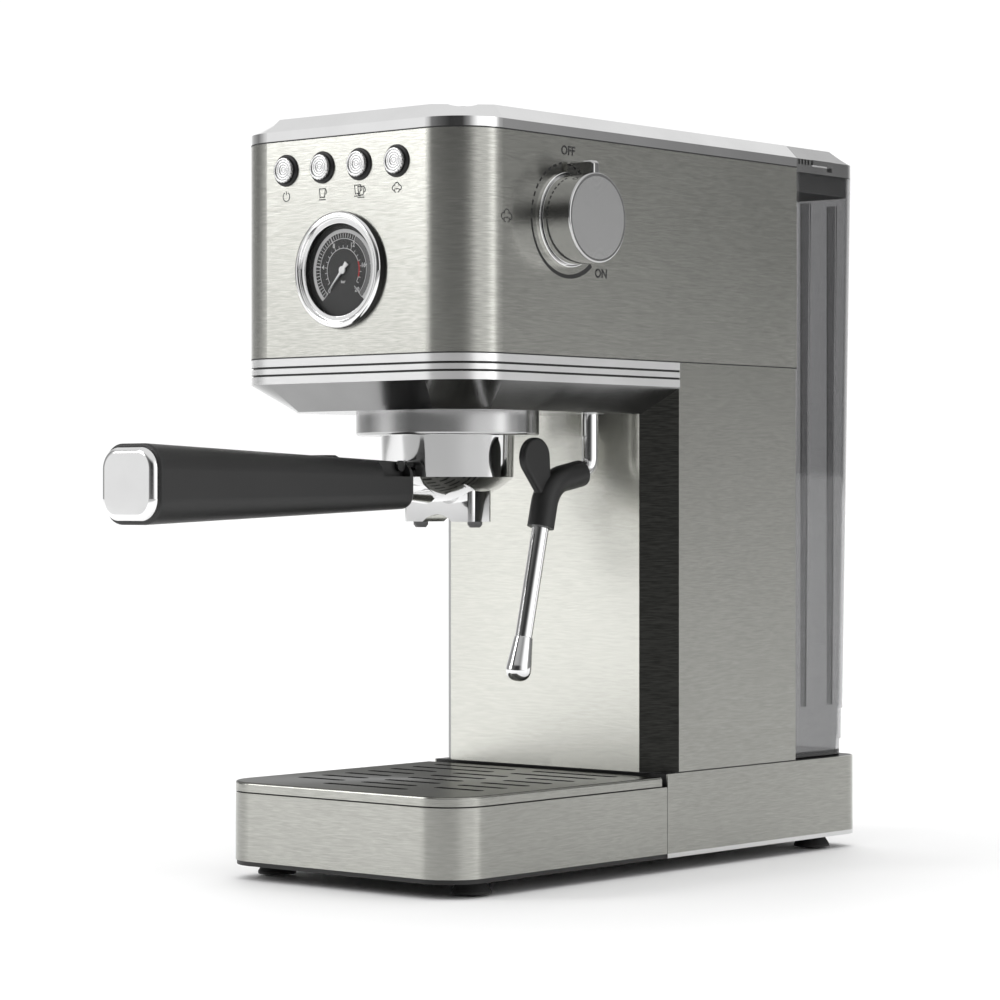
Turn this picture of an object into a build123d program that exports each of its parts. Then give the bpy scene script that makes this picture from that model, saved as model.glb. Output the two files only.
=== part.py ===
from build123d import *
import math
import os

# Slim pump espresso machine. Millimetres: X to the right seen from the front,
# Y to the back with zero on the front of the head, Z up with zero on the floor.

# Shared thicknesses and fits
SHEET = 0.8
WALL = 2.0
GAP = 0.3
RUNNING_FIT = 0.05

# Heights, stacked from the floor up
FOOT_HEIGHT = 5.5
PAN_EDGE = 2.0
TRAY_HEIGHT = 30.0
GRID_LINE = 0.6
GRID_RIM = 4.2
BASE_HEIGHT = 35.8
DECK_THICK = 2.5
COLUMN_LINE = 0.5
HEAD_UNDERSIDE = 205.5
SKIRT_HEIGHT = 12.0
TRIM_BANDS = (3.4, 2.4, 3.4)
TRIM_GROOVE = 0.95
WRAP_HEIGHT = 95.7
BAND_HEIGHT = 4.1
BEVEL = 6.2

# Head and column plan
HEAD_WIDTH = 140.0
HEAD_CORNER = 23.4
HEAD_DEPTH = 237.5
SKIRT_INSET = 12.8
SKIRT_FACET = 17.5
TOP_FACET = 19.0
TRIM_THICK = 3.0
TRIM_GROOVE_DEPTH = 0.9
COLUMN_FRONT = 134.0
COLUMN_STEP = 0.6
PLATE_BORDER = 5.0
PLATE_LEDGE = 6.0
PLATE_SUNK = 1.1
PLATE_THICK = 1.2
VENT_ROWS = 7

# Base plan
BASE_FRONT = -7.5
BASE_TAIL = 2.5
BASE_FRONT_CORNER = 19.3
BASE_REAR_CORNER = 12.0
SEAM_BACK = 3.7
PAN_INSET = 0.6
REAR_TRIM = 2.0
FOOT_RADIUS = 8.5
FOOT_NECK = 5.8
FOOT_STEM = 4.0
FOOT_SIDE = 12.5
FOOT_IN = 25.0
GLAND_RADIUS = 6.5
GLAND_BORE = 3.6
GLAND_FLANGE = 2.0
GLAND_PROUD = 2.5
GLAND_SHARE = 0.45

# Drip grid
GRID_PLATE = 1.0
GRID_GAP = 0.5
GRID_ROWS = 7
LONG_ROWS = 2
SLOT_WIDTH = 4.6
SLOT_PITCH = 15.3
SLOT_REAR = 13.0
SLOT_END_X = 54.5
SLOT_LONG = 49.0
SLOT_SHORT = 27.5
SLOT_MIDDLE = 32.0

# Brewing group
GROUP_Y = 67.5
COLLAR_RADIUS = 40.9
COLLAR_HEIGHT = 10.3
COLLAR_LIP = 4.0
BASIN_RADIUS = 30.2
BASIN_DRAFT = 0.7
BASIN_DEPTH = 39.5
BASIN_WALL = 2.6
BASIN_DOME = 11.5
BASIN_DROP = 0.7
EAR_REACH = 4.6
EAR_ANGLE = 40.0
EAR_THICK = 3.6
BASKET_RADIUS = 26.5
BASKET_DEPTH = 24.0
BASKET_SHEET = 0.6
SPOUT_WIDTH = 41.0
SPOUT_DEPTH = 14.4
SPOUT_CORNER = 2.5
SPOUT_DROP = 8.3
SPOUT_SPACING = 32.2
SPOUT_ARCH = 12.7
SPOUT_ARCH_RISE = 3.3
NOZZLE_RADIUS = 3.3
NOZZLE_STEM = 2.5
NOZZLE_BORE = 1.5
NOZZLE_DROP = 2.6
NOZZLE_SEAT = 5.0
LIP_CLEAR = 0.8
CATCH_CLEAR = 0.6
GAP_ANGLE = 6.0
UNLOCK_ANGLE = 50.0
GASKET_HEIGHT = 5.0
GASKET_WALL = 1.6
SCREEN_RADIUS = 24.0
SCREEN_SUNK = 2.5
SCREEN_THICK = 1.0
SCREEN_RINGS = (8.0, 13.0, 18.0)
SCREEN_HOLE = 0.8
BASKET_RINGS = (6.0, 12.0, 18.0)
BASKET_HOLE = 0.7

# Handle of the portafilter
HANDLE_RISE = 7.7
HANDLE_START = 33.0
HANDLE_LENGTH = 157.5
HANDLE_END_WIDTH = 34.0
HANDLE_END_HEIGHT = 33.0
HANDLE_END_ROUND = 10.5
HANDLE_NEAR_WIDTH = 24.0
HANDLE_NEAR_HEIGHT = 20.5
HANDLE_NEAR_ROUND = 6.5
HANDLE_CAP = 3.2
HANDLE_CAP_MARGIN = 1.6
NECK_RADIUS = 6.2
NECK_FLARE = 8.0
NECK_DEPTH = 24.0
TANG_RADIUS = 5.0
CLIP_WIDTH = 9.0
CLIP_THICK = 3.6
CLIP_PIVOT_Y = 26.5
CLIP_LENGTH = 47.0
CLIP_TAB = 17.0
CLIP_TAB_RISE = 2.6
CLIP_PIN = 1.5
CLIP_CHEEK = 3.0
CLIP_EAR = 2.4
CLIP_EAR_THICK = 1.6
CLIP_NOTCH = 15.0
CLIP_NOTCH_DROP = 4.6

# Pressure gauge and buttons
CONTROL_X = -2.0
GAUGE_RISE = 37.4
GAUGE_RADIUS = 25.3
GAUGE_PROUD = 3.2
GAUGE_RING = 3.0
GAUGE_STEP = 1.7
GAUGE_DEPTH = 20.0
GAUGE_STUB = 8.0
LENS_THICK = 1.0
DIAL_RADIUS = 20.6
DIAL_LIP = 0.5
DIAL_SUNK = 1.5
DIAL_THICK = 1.0
SPINDLE_RADIUS = 0.9
SPINDLE_LENGTH = 8.0
NEEDLE_LENGTH = 12.0
NEEDLE_TAIL = 4.0
NEEDLE_HALF = 0.55
NEEDLE_HUB = 1.7
NEEDLE_THICK = 0.6
NEEDLE_REST = 137.0
BUTTON_FALL = 13.3
BUTTON_PITCH = 21.8
BUTTON_COUNT = 4
BUTTON_RADIUS = 5.6
BUTTON_PROUD = 2.6
BUTTON_DISH = 0.4
BUTTON_RIM = 1.1
BUTTON_STEM = 2.0
BUTTON_TRAVEL = 1.6
NOTCH_COUNT = 20
NOTCH_RADIUS = 0.38
NOTCH_DEPTH = 0.9
RING_RADIUS = 7.0
RING_PROUD = 0.9
SLEEVE_WALL = 0.8
SLEEVE_DEPTH = 4.0
BOARD_Y = 14.0
BOARD_POST = 43.0
BOARD_POST_RADIUS = 2.5
BOARD_HALF = 10.0
BOARD_EDGE = 4.0
BOARD_THICK = 1.6
SWITCH_HALF = 3.0
SWITCH_HEIGHT = 4.5
SWITCH_SLACK = 0.1

# Steam knob, valve and wand
KNOB_Y = 67.0
KNOB_RISE = 59.4
KNOB_RADIUS = 19.5
KNOB_REACH = 16.8
KNOB_COLLAR = 20.6
KNOB_COLLAR_THICK = 1.2
KNOB_FIN = 5.4
KNOB_FIN_THICK = 4.6
KNOB_FIN_ROUND = 2.2
KNOB_CAP_RADIUS = 17.8
KNOB_CAP_THICK = 0.8
STEM_RADIUS = 4.0
STEM_SHARE = 0.75
STEM_CLEAR = 1.0
VALVE_RADIUS = 9.5
VALVE_LENGTH = 30.0
VALVE_NUT = 5.0
VALVE_PORT = 8.0
VALVE_SEAT = 6.0
VALVE_SPIGOT = 5.0
WAND_X = 42.0
WAND_AHEAD = 17.3
WAND_RADIUS = 3.8
WAND_WALL = 1.2
WAND_DROP = 25.7
WAND_SLOPE = 5.4
WAND_ARM = 29.9
WAND_RUN = 68.1
WAND_LEAN = 16.5
WAND_UPPER_BEND = 6.5
WAND_ELBOW_BEND = 16.0
NUT_RADIUS = 6.5
NUT_FLANGE = 2.0
NUT_HEIGHT = 6.0
SWIVEL_LIP = 1.3
SLEEVE_RADIUS = 6.0
SLEEVE_ARM = 23.0
SLEEVE_REACH = 20.5
PADDLE_RADIUS = 8.8
PADDLE_THICK = 4.4
PADDLE_AHEAD = 9.0
PADDLE_RISE = 11.0
PADDLE_FOOT = 2.5
TIP_RADIUS = 5.6
TIP_LENGTH = 19.5

# Water tank
TANK_GAP = 0.8
TANK_DEPTH = 51.7
TANK_DRAFT = 3.0
TANK_CORNER = 10.0
TANK_WALL = 1.8
TANK_FLOOR = 3.0
TANK_STEP = 2.3
TANK_SHELF = 0.6
TANK_SHELVES = (8.3, 23.0)
RIB_DEPTH = 2.2
RIB_THICK = 1.4
RIB_PLACES = (11.7, 33.5)
RIB_TOP = 14.0
LID_FLANGE = 9.0
LID_FLANGE_WALL = 1.6
LID_SHELL = 4.0
LID_LIP = 1.5
LID_LIP_START = 12.7
LID_LIP_LENGTH = 16.6
LID_LIP_HEIGHT = 2.4
LID_GROOVES = 4
LID_GROOVE_WIDTH = 1.2
LID_GROOVE_PITCH = 2.5
LID_GROOVE_HEIGHT = 2.6
VALVE_IN = 23.7
VALVE_BORE = 7.5
VALVE_NOSE = 6.5
VALVE_NOSE_LENGTH = 8.0
VALVE_WAY = 1.5
VALVE_FLANGE = 2.5
VALVE_CAGE = 9.0
SOCKET_WALL = 4.0
SOCKET_DEPTH = 14.0
SOCKET_CLEAR = 1.0
NIPPLE_LENGTH = 8.0

# Pump line inside the column
PUMP_BACK = 56.0
PUMP_WIDTH = 44.0
PUMP_HEIGHT = 52.0
PUMP_SLIM = 3.0
PUMP_CORE = 14.0
PUMP_INLET = 10.0
PUMP_NOSE = 26.0
PUMP_SHELF_Z = 78.0
SHELF_THICK = 1.5
SHELF_AHEAD = 28.0
MOUNT_HEIGHT = 6.0
MOUNT_RADIUS = 4.5
BOILER_RADIUS = 36.0
BOILER_HEIGHT = 54.0
BOILER_FLANGE = 5.0
BOILER_FLANGE_THICK = 3.0
BOILER_SLOPE = 8.0
BOILER_BOSS = 8.0
BOILER_PORT_SHARE = 0.65
HOSE_RADIUS = 4.0
HOSE_BORE = 2.5
HOSE_WAY = 15.0
HOSE_CLEAR = 1.0
PIPE_RADIUS = 2.5
PIPE_BEND = 5.0

# Heights and edges worked out from the sizes above
PAN_TOP = FOOT_HEIGHT + PAN_EDGE
TRAY_TOP = PAN_TOP + TRAY_HEIGHT
GRID_BOTTOM = TRAY_TOP + GRID_LINE
GRID_TOP = GRID_BOTTOM + GRID_RIM
BASE_TOP = PAN_TOP + BASE_HEIGHT
COLUMN_BOTTOM = BASE_TOP + COLUMN_LINE
TRIM_BOTTOM = HEAD_UNDERSIDE + SKIRT_HEIGHT
TRIM_HEIGHT = sum(TRIM_BANDS) + 2 * TRIM_GROOVE
WRAP_BOTTOM = TRIM_BOTTOM + TRIM_HEIGHT
WRAP_TOP = WRAP_BOTTOM + WRAP_HEIGHT
BEVEL_BOTTOM = WRAP_TOP + BAND_HEIGHT
TOP = BEVEL_BOTTOM + BEVEL
HEAD_HALF = HEAD_WIDTH / 2
BASE_HALF = HEAD_HALF
COLUMN_HALF = HEAD_HALF - COLUMN_STEP
COLUMN_SIDE = COLUMN_FRONT + SKIRT_INSET
CHASSIS_HALF = HEAD_HALF - TRIM_THICK
FLOOR_THICK = 2.5
CHASSIS_FLOOR = TRIM_BOTTOM + FLOOR_THICK
TANK_FRONT = HEAD_DEPTH + TANK_GAP
TANK_REAR = TANK_FRONT + TANK_DEPTH
TANK_TOP = WRAP_TOP - TANK_STEP
TANK_HALF = COLUMN_HALF
BASE_REAR = TANK_REAR + BASE_TAIL
TRAY_SEAM = COLUMN_FRONT + SEAM_BACK
GRID_REAR = COLUMN_FRONT - GRID_GAP
FOOT_X = BASE_HALF - FOOT_SIDE
FOOT_FRONT_Y = BASE_FRONT + FOOT_IN
FOOT_REAR_Y = BASE_REAR - FOOT_IN
GLAND_Z = PAN_TOP + BASE_HEIGHT * GLAND_SHARE
RIM_TOP = HEAD_UNDERSIDE - BASIN_DROP
BASIN_BOTTOM = RIM_TOP - BASIN_DEPTH
LIP_RADIUS = BASIN_RADIUS + LIP_CLEAR
LIP_TOP = HEAD_UNDERSIDE - COLLAR_HEIGHT + COLLAR_LIP
CATCH_RADIUS = BASIN_RADIUS + EAR_REACH + CATCH_CLEAR
GASKET_RADIUS = BOILER_RADIUS - GASKET_WALL
SPOUT_BOTTOM = BASIN_BOTTOM - SPOUT_DROP
SPOUT_TOP = BASIN_BOTTOM + BASIN_DOME
HANDLE_Z = BASIN_BOTTOM + HANDLE_RISE
HANDLE_END = HANDLE_START - HANDLE_LENGTH
CLIP_PIVOT_Z = HANDLE_Z + HANDLE_NEAR_HEIGHT / 2 - CLIP_THICK / 2
CLIP_CHEEK_X = CLIP_WIDTH / 2 + CLIP_CHEEK
CLIP_PIN_HALF = CLIP_CHEEK_X + GAP + CLIP_EAR_THICK
GAUGE_Z = WRAP_BOTTOM + GAUGE_RISE
CASE_RADIUS = DIAL_RADIUS + WALL
BUTTON_Z = WRAP_TOP - BUTTON_FALL
BUTTON_X = [CONTROL_X + (i - (BUTTON_COUNT - 1) / 2) * BUTTON_PITCH for i in range(BUTTON_COUNT)]
RING_HOLE = BUTTON_RADIUS + SLEEVE_WALL
SWITCH_FACE = BOARD_Y - SWITCH_HEIGHT
KNOB_Z = WRAP_BOTTOM + KNOB_RISE
KNOB_BACK = HEAD_HALF + KNOB_COLLAR_THICK + GAP
KNOB_FACE = HEAD_HALF + KNOB_REACH
STEM_END = KNOB_BACK + (KNOB_FACE - KNOB_BACK) * STEM_SHARE
VALVE_INNER = CHASSIS_HALF - WALL - VALVE_LENGTH
VALVE_PORT_Z = KNOB_Z - VALVE_RADIUS - VALVE_SPIGOT
WAND_Y = COLUMN_FRONT - WAND_AHEAD
WAND_BEND_Z = HEAD_UNDERSIDE - WAND_DROP
WAND_ELBOW_Y = WAND_Y - WAND_ARM
WAND_ELBOW_Z = WAND_BEND_Z - WAND_SLOPE
WAND_END_Y = WAND_ELBOW_Y - WAND_LEAN
WAND_END_Z = WAND_ELBOW_Z - WAND_RUN
PADDLE_Y = WAND_ELBOW_Y - PADDLE_AHEAD
PADDLE_Z = WAND_ELBOW_Z + PADDLE_RISE
NUT_TOP = CHASSIS_FLOOR + NUT_HEIGHT
BOILER_BACK = GROUP_Y + BOILER_RADIUS
BOILER_PORT_Z = HEAD_UNDERSIDE + BOILER_HEIGHT * BOILER_PORT_SHARE
VALVE_Y = TANK_FRONT + VALVE_IN
SOCKET_RADIUS = VALVE_BORE + SOCKET_WALL
PUMP_Y = COLUMN_FRONT + PUMP_BACK
PUMP_LOW = PUMP_SHELF_Z + SHELF_THICK + MOUNT_HEIGHT
PUMP_TOP = PUMP_LOW + PUMP_HEIGHT

# The origin sits on the floor under the middle of the whole machine
FRONT_END = HANDLE_END - HANDLE_CAP
REAR_END = BASE_REAR + GLAND_PROUD
ORIGIN = ((KNOB_FACE - BASE_HALF) / 2, (FRONT_END + REAR_END) / 2, 0.0)

RIGHT = (1, 0, 0)
BACK = (0, 1, 0)
FRONT = (0, -1, 0)
UP = (0, 0, 1)


def plan(half, front, rear, front_round=0.0, rear_round=0.0):
    """Rectangle seen from above with its front and rear corners rounded."""
    shape = Pos(0, (front + rear) / 2) * Rectangle(2 * half, rear - front)
    if front_round > 0:
        shape = fillet(shape.vertices().group_by(Axis.Y)[0], front_round)
    if rear_round > 0:
        shape = fillet(shape.vertices().group_by(Axis.Y)[-1], rear_round)
    return shape


def facet_plan(half, front, rear, front_cut=0.0, rear_cut=0.0):
    """Rectangle seen from above with straight cuts across its corners."""
    shape = Pos(0, (front + rear) / 2) * Rectangle(2 * half, rear - front)
    if front_cut > 0:
        shape = chamfer(shape.vertices().group_by(Axis.Y)[0], front_cut)
    if rear_cut > 0:
        shape = chamfer(shape.vertices().group_by(Axis.Y)[-1], rear_cut)
    return shape


def raised(sketch, low, high):
    """Sketch stood up between two heights."""
    return Pos(0, 0, low) * extrude(sketch, high - low)


def tapered(low_sketch, low, high_sketch, high):
    """Straight-sided solid between two outlines at two heights."""
    return loft([Pos(0, 0, low) * low_sketch, Pos(0, 0, high) * high_sketch], ruled=True)


def band(half, front, rear, corner, thick, low, high):
    """Sheet bent round the front and both sides, open at the rear."""
    outer = plan(half, front, rear, corner)
    inner = plan(half - thick, front + thick, rear + thick, corner - thick)
    return raised(outer - inner, low, high)


def rod(start, direction, radius, length):
    """Round bar from a point along a direction."""
    return Plane(start, z_dir=direction) * extrude(Circle(radius), length)


def ring(start, direction, outer, inner, length):
    """Tube from a point along a direction."""
    return Plane(start, z_dir=direction) * extrude(Circle(outer) - Circle(inner), length)


def turned(profile, start, direction, rounds=None):
    """Solid turned from (radius, height) points about an axis."""
    if rounds:
        line = FilletPolyline(*profile, radius=rounds, close=True)
    else:
        line = Polyline(*profile, close=True)
    face = Plane.XZ * make_face(line)
    return Plane(start, z_dir=direction) * revolve(face, Axis.Z)


def bent_tube(points, radius, bends, bore=0.0):
    """Round tube or bar along straight runs joined by bends."""
    path = FilletPolyline(*points, radius=bends)
    section = Circle(radius) - Circle(bore) if bore else Circle(radius)
    return sweep(Plane(path @ 0, z_dir=path % 0) * section, path=path)


def slab(x_low, x_high, y_low, y_high, z_low, z_high):
    """Box given by its two ends along each axis."""
    middle = Pos((x_low + x_high) / 2, (y_low + y_high) / 2, (z_low + z_high) / 2)
    return middle * Box(x_high - x_low, y_high - y_low, z_high - z_low)


def sector(radius, angle, facing):
    """Flat wedge with its point on the origin, centred on a direction in degrees."""
    half = math.radians(angle / 2)
    turn = math.radians(facing)
    reach = radius / math.cos(half)
    ends = [(reach * math.cos(turn + s * half), reach * math.sin(turn + s * half)) for s in (-1, 1)]
    return make_face(Polyline((0, 0), *ends, close=True)) & Circle(radius)


# Base
def make_rubber_feet():
    """Four flared feet, each with a stem pushed up into the pan."""
    low_edge = FOOT_HEIGHT * 0.2
    profile = [(0, 0), (FOOT_RADIUS, 0), (FOOT_RADIUS, low_edge), (FOOT_NECK, FOOT_HEIGHT),
               (FOOT_STEM, FOOT_HEIGHT), (FOOT_STEM, PAN_TOP), (0, PAN_TOP)]
    foot = turned(profile, (0, 0, 0), UP)
    spots = [(x, y) for x in (-FOOT_X, FOOT_X) for y in (FOOT_FRONT_Y, FOOT_REAR_Y)]
    return [Pos(x, y) * foot for x, y in spots]


def rear_outline(inset, front):
    """Rear part of the base seen from above."""
    rear = BASE_REAR - inset
    return plan(BASE_HALF - inset, front, rear, 0.0, BASE_REAR_CORNER - inset)


def make_rear_base_trim():
    """Light edge strip under the rear half of the base."""
    outline = rear_outline(0.0, TRAY_SEAM) - rear_outline(REAR_TRIM, TRAY_SEAM - REAR_TRIM)
    return raised(outline, FOOT_HEIGHT, PAN_TOP)


def make_rear_base_wrap():
    """Stainless sheet round the rear half of the base."""
    outline = rear_outline(0.0, TRAY_SEAM) - rear_outline(SHEET, TRAY_SEAM - SHEET)
    wrap = raised(outline, PAN_TOP, BASE_TOP)
    return wrap - rod((0, BASE_REAR - 2 * WALL, GLAND_Z), BACK, GLAND_RADIUS, 4 * WALL)


def make_base_pan(trim, feet):
    """Black pan under the whole machine with a walled rear housing."""
    outline = plan(BASE_HALF - PAN_INSET, BASE_FRONT + PAN_INSET, BASE_REAR - PAN_INSET,
                   BASE_FRONT_CORNER - PAN_INSET, BASE_REAR_CORNER - PAN_INSET)
    pan = raised(outline, FOOT_HEIGHT, PAN_TOP) - trim
    for foot in feet:
        pan = pan - foot
    front = TRAY_SEAM + GAP
    housing = rear_outline(SHEET, front) - rear_outline(SHEET + WALL, front + WALL)
    pan = pan + raised(housing, PAN_TOP, BASE_TOP - DECK_THICK)
    return pan - rod((0, BASE_REAR - 3 * WALL, GLAND_Z), BACK, GLAND_RADIUS, 5 * WALL)


def make_base_deck():
    """Deck on the rear housing that carries the column and the tank."""
    deck = raised(rear_outline(SHEET, TRAY_SEAM), BASE_TOP - DECK_THICK, BASE_TOP)
    hose_way = slab(-PUMP_WIDTH / 2, PUMP_WIDTH / 2, PUMP_Y - HOSE_WAY, PUMP_Y + HOSE_WAY, 0, TOP)
    return deck - hose_way - rod((0, VALVE_Y, 0), UP, SOCKET_RADIUS, TOP)


def make_tank_socket():
    """Cup in the deck that takes the nose of the tank valve."""
    low = BASE_TOP - SOCKET_DEPTH
    cup = VALVE_NOSE + SOCKET_CLEAR
    nipple = HOSE_BORE + SOCKET_CLEAR
    profile = [(HOSE_BORE, low - NIPPLE_LENGTH), (nipple, low - NIPPLE_LENGTH), (nipple, low), (SOCKET_RADIUS, low),
               (SOCKET_RADIUS, BASE_TOP), (cup, BASE_TOP), (cup, low + WALL), (HOSE_BORE, low + WALL)]
    return turned(profile, (0, VALVE_Y, 0), UP)


def make_cord_gland():
    """Bush in the rear wall where the mains lead enters."""
    body = ring((0, BASE_REAR - SHEET - WALL, GLAND_Z), BACK, GLAND_RADIUS, GLAND_BORE, SHEET + WALL)
    flange = ring((0, BASE_REAR, GLAND_Z), BACK, GLAND_RADIUS + GLAND_FLANGE, GLAND_BORE, GLAND_PROUD)
    return body + fillet(flange.edges().group_by(Axis.Y)[-1].sort_by(SortBy.RADIUS)[-1], 1.0)


# Drip tray
def make_tray_wrap():
    """Stainless front of the drip tray."""
    rear = TRAY_SEAM - GAP
    return band(BASE_HALF, BASE_FRONT, rear, BASE_FRONT_CORNER, SHEET, PAN_TOP, TRAY_TOP)


def make_tray_box():
    """Open box that catches the drips, with posts that carry the grid."""
    rear = TRAY_SEAM - GAP
    corner = BASE_FRONT_CORNER - SHEET
    outer = plan(BASE_HALF - SHEET, BASE_FRONT + SHEET, rear, corner)
    inner = plan(BASE_HALF - SHEET - WALL, BASE_FRONT + SHEET + WALL, rear - WALL, corner - WALL, WALL)
    box = raised(outer, PAN_TOP, TRAY_TOP) - raised(inner, PAN_TOP + WALL, TRAY_TOP)
    post_x = BASE_HALF - SHEET - 2.4 * WALL
    for x in (-post_x, post_x):
        for y in (BASE_FRONT + BASE_FRONT_CORNER + WALL, GRID_REAR - 4 * WALL):
            box = box + rod((x, y, PAN_TOP + WALL), UP, 1.5 * WALL, GRID_TOP - GRID_PLATE - PAN_TOP - WALL)
    return box


def make_drip_grid():
    """Pressed steel grid with a turned-down rim and rows of drain slots."""
    outline = plan(BASE_HALF, BASE_FRONT, GRID_REAR, BASE_FRONT_CORNER)
    grid = raised(outline, GRID_BOTTOM, GRID_TOP)
    grid = fillet(grid.edges().group_by(Axis.Z)[-1], GRID_PLATE)
    rim = 1.5 * GRID_PLATE
    inner = plan(BASE_HALF - rim, BASE_FRONT + rim, GRID_REAR - rim, BASE_FRONT_CORNER - rim)
    grid = grid - raised(inner, GRID_BOTTOM, GRID_TOP - GRID_PLATE)
    last_row = GRID_REAR - SLOT_REAR
    slots = Pos(0, last_row - GRID_ROWS * SLOT_PITCH) * SlotOverall(SLOT_LONG, SLOT_WIDTH)
    for row in range(GRID_ROWS):
        length = SLOT_LONG if row < LONG_ROWS else SLOT_SHORT
        y = last_row - row * SLOT_PITCH
        for side in (-1, 1):
            slots += Pos(side * (SLOT_END_X - length / 2), y) * SlotOverall(length, SLOT_WIDTH)
        if row >= LONG_ROWS:
            slots += Pos(0, y) * SlotOverall(SLOT_MIDDLE, SLOT_WIDTH)
    return grid - raised(slots, GRID_BOTTOM, GRID_TOP)


# Column
def column_outline(inset):
    """Column seen from above with its two front corners cut at an angle."""
    shape = facet_plan(COLUMN_HALF - inset, COLUMN_FRONT + inset, HEAD_DEPTH, SKIRT_INSET - 0.6 * inset)
    return shape


def skirt_block(inset):
    """Solid block inside the sloping underside of the head."""
    low = facet_plan(HEAD_HALF - SKIRT_INSET - inset, SKIRT_INSET + inset, COLUMN_SIDE, SKIRT_FACET)
    high = plan(HEAD_HALF - inset, inset, COLUMN_SIDE, HEAD_CORNER - inset)
    return tapered(low, HEAD_UNDERSIDE + inset, high, TRIM_BOTTOM)


def make_head_skirt(group_hole):
    """Chromed pan under the head: straight facets below, round corners above."""
    shell = skirt_block(0.0) - skirt_block(WALL)
    nut_hole = rod((WAND_X, WAND_Y, HEAD_UNDERSIDE - WALL), UP, NUT_RADIUS, 3 * WALL)
    return shell - group_hole - nut_hole


def make_splash_panel(block):
    """Stainless front of the column, folded back at both corners."""
    rear = slab(-HEAD_HALF, HEAD_HALF, COLUMN_SIDE, HEAD_DEPTH + WALL, 0, TOP)
    sheet = raised(column_outline(0.0) - column_outline(SHEET), COLUMN_BOTTOM, TRIM_BOTTOM)
    return sheet - rear - block


def make_column_side(side):
    """Stainless side of the column, up to the sheet of the head."""
    outer = side * COLUMN_HALF
    inner = side * (COLUMN_HALF - SHEET)
    low, high = sorted((outer, inner))
    return slab(low, high, COLUMN_SIDE, HEAD_DEPTH, COLUMN_BOTTOM, WRAP_BOTTOM)


def make_column_frame(block):
    """Moulded tube inside the column."""
    outer = column_outline(SHEET)
    inner = column_outline(SHEET + WALL) - Pos(0, HEAD_DEPTH) * Rectangle(HEAD_WIDTH, 2 * WALL)
    return raised(outer - inner, BASE_TOP, TRIM_BOTTOM) - block


# Head
def make_head_wrap(openings):
    """Stainless sheet round the head."""
    wrap = band(HEAD_HALF, 0.0, HEAD_DEPTH, HEAD_CORNER, SHEET, WRAP_BOTTOM, WRAP_TOP)
    for opening in openings:
        wrap = wrap - opening
    return wrap


def make_lower_trim():
    """Chromed frame of three bands with two grooves between them."""
    trim = band(HEAD_HALF, 0.0, COLUMN_SIDE, HEAD_CORNER, TRIM_THICK, TRIM_BOTTOM, WRAP_BOTTOM)
    level = TRIM_BOTTOM
    for height in TRIM_BANDS[:-1]:
        level = level + height
        trim = trim - band(HEAD_HALF, 0.0, COLUMN_SIDE, HEAD_CORNER, TRIM_GROOVE_DEPTH,
                           level, level + TRIM_GROOVE)
        level = level + TRIM_GROOVE
    return trim


def make_head_chassis(openings, pump_way):
    """Moulded box inside the head with a floor, posts for the board and a rear wall."""
    corner = HEAD_CORNER - TRIM_THICK
    outer = plan(CHASSIS_HALF, TRIM_THICK, HEAD_DEPTH, corner)
    inner = plan(CHASSIS_HALF - WALL, TRIM_THICK + WALL, HEAD_DEPTH - WALL, corner - WALL)
    chassis = raised(outer, TRIM_BOTTOM, WRAP_TOP) - raised(inner, CHASSIS_FLOOR, WRAP_TOP)
    for x in (-BOARD_POST, BOARD_POST):
        chassis = chassis + rod((x, TRIM_THICK + WALL, BUTTON_Z), BACK, BOARD_POST_RADIUS, BOARD_Y - TRIM_THICK - WALL)
    for opening in openings:
        chassis = chassis - opening
    chassis = chassis - rod((0, GROUP_Y, 0), UP, BOILER_RADIUS + GAP, CHASSIS_FLOOR + WALL)
    nut_way = rod((WAND_X, WAND_Y, 0), UP, NUT_RADIUS, CHASSIS_FLOOR + WALL)
    return chassis - nut_way - pump_way


def top_block(half, front, rear, front_round, rear_round, front_cut, rear_cut, low):
    """Band with a sloping edge above it, as round the top of the head."""
    front_slope = BEVEL if front_cut else 0.0
    rear_slope = BEVEL if rear_cut else 0.0
    outline = plan(half, front, rear, front_round, rear_round)
    crown = facet_plan(half - BEVEL, front + front_slope, rear - rear_slope, front_cut, rear_cut)
    return raised(outline, low, BEVEL_BOTTOM) + tapered(outline, BEVEL_BOTTOM, crown, TOP)


def make_top_trim():
    """Chromed frame round the top, with a ledge for the cup plate."""
    trim = top_block(HEAD_HALF, 0.0, HEAD_DEPTH, HEAD_CORNER, 0.0, TOP_FACET, 0.0, WRAP_TOP)
    border = BEVEL + PLATE_BORDER
    ledge = border + PLATE_LEDGE
    pocket = plan(HEAD_HALF - border, border, HEAD_DEPTH - PLATE_BORDER, TOP_FACET / 2, PLATE_BORDER)
    way = plan(HEAD_HALF - ledge, ledge, HEAD_DEPTH - PLATE_BORDER - PLATE_LEDGE, PLATE_LEDGE, PLATE_LEDGE)
    sink = TOP - PLATE_SUNK - PLATE_THICK
    return trim - raised(pocket, sink, TOP) - raised(way, WRAP_TOP, TOP)


def make_warming_plate():
    """Cup plate let into the top, with rows of vent slots."""
    border = BEVEL + PLATE_BORDER + 0.2
    rear = HEAD_DEPTH - PLATE_BORDER - 0.2
    outline = plan(HEAD_HALF - border, border, rear, TOP_FACET / 2, PLATE_BORDER)
    sink = TOP - PLATE_SUNK - PLATE_THICK
    slots = Sketch()
    pitch = (rear - border) / (VENT_ROWS + 1)
    for row in range(VENT_ROWS):
        for side in (-1, 1):
            slots += Pos(side * HEAD_HALF * 0.3, border + (row + 1) * pitch) * SlotOverall(HEAD_HALF * 0.4, 3)
    return raised(outline - slots, sink, sink + PLATE_THICK)


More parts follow.
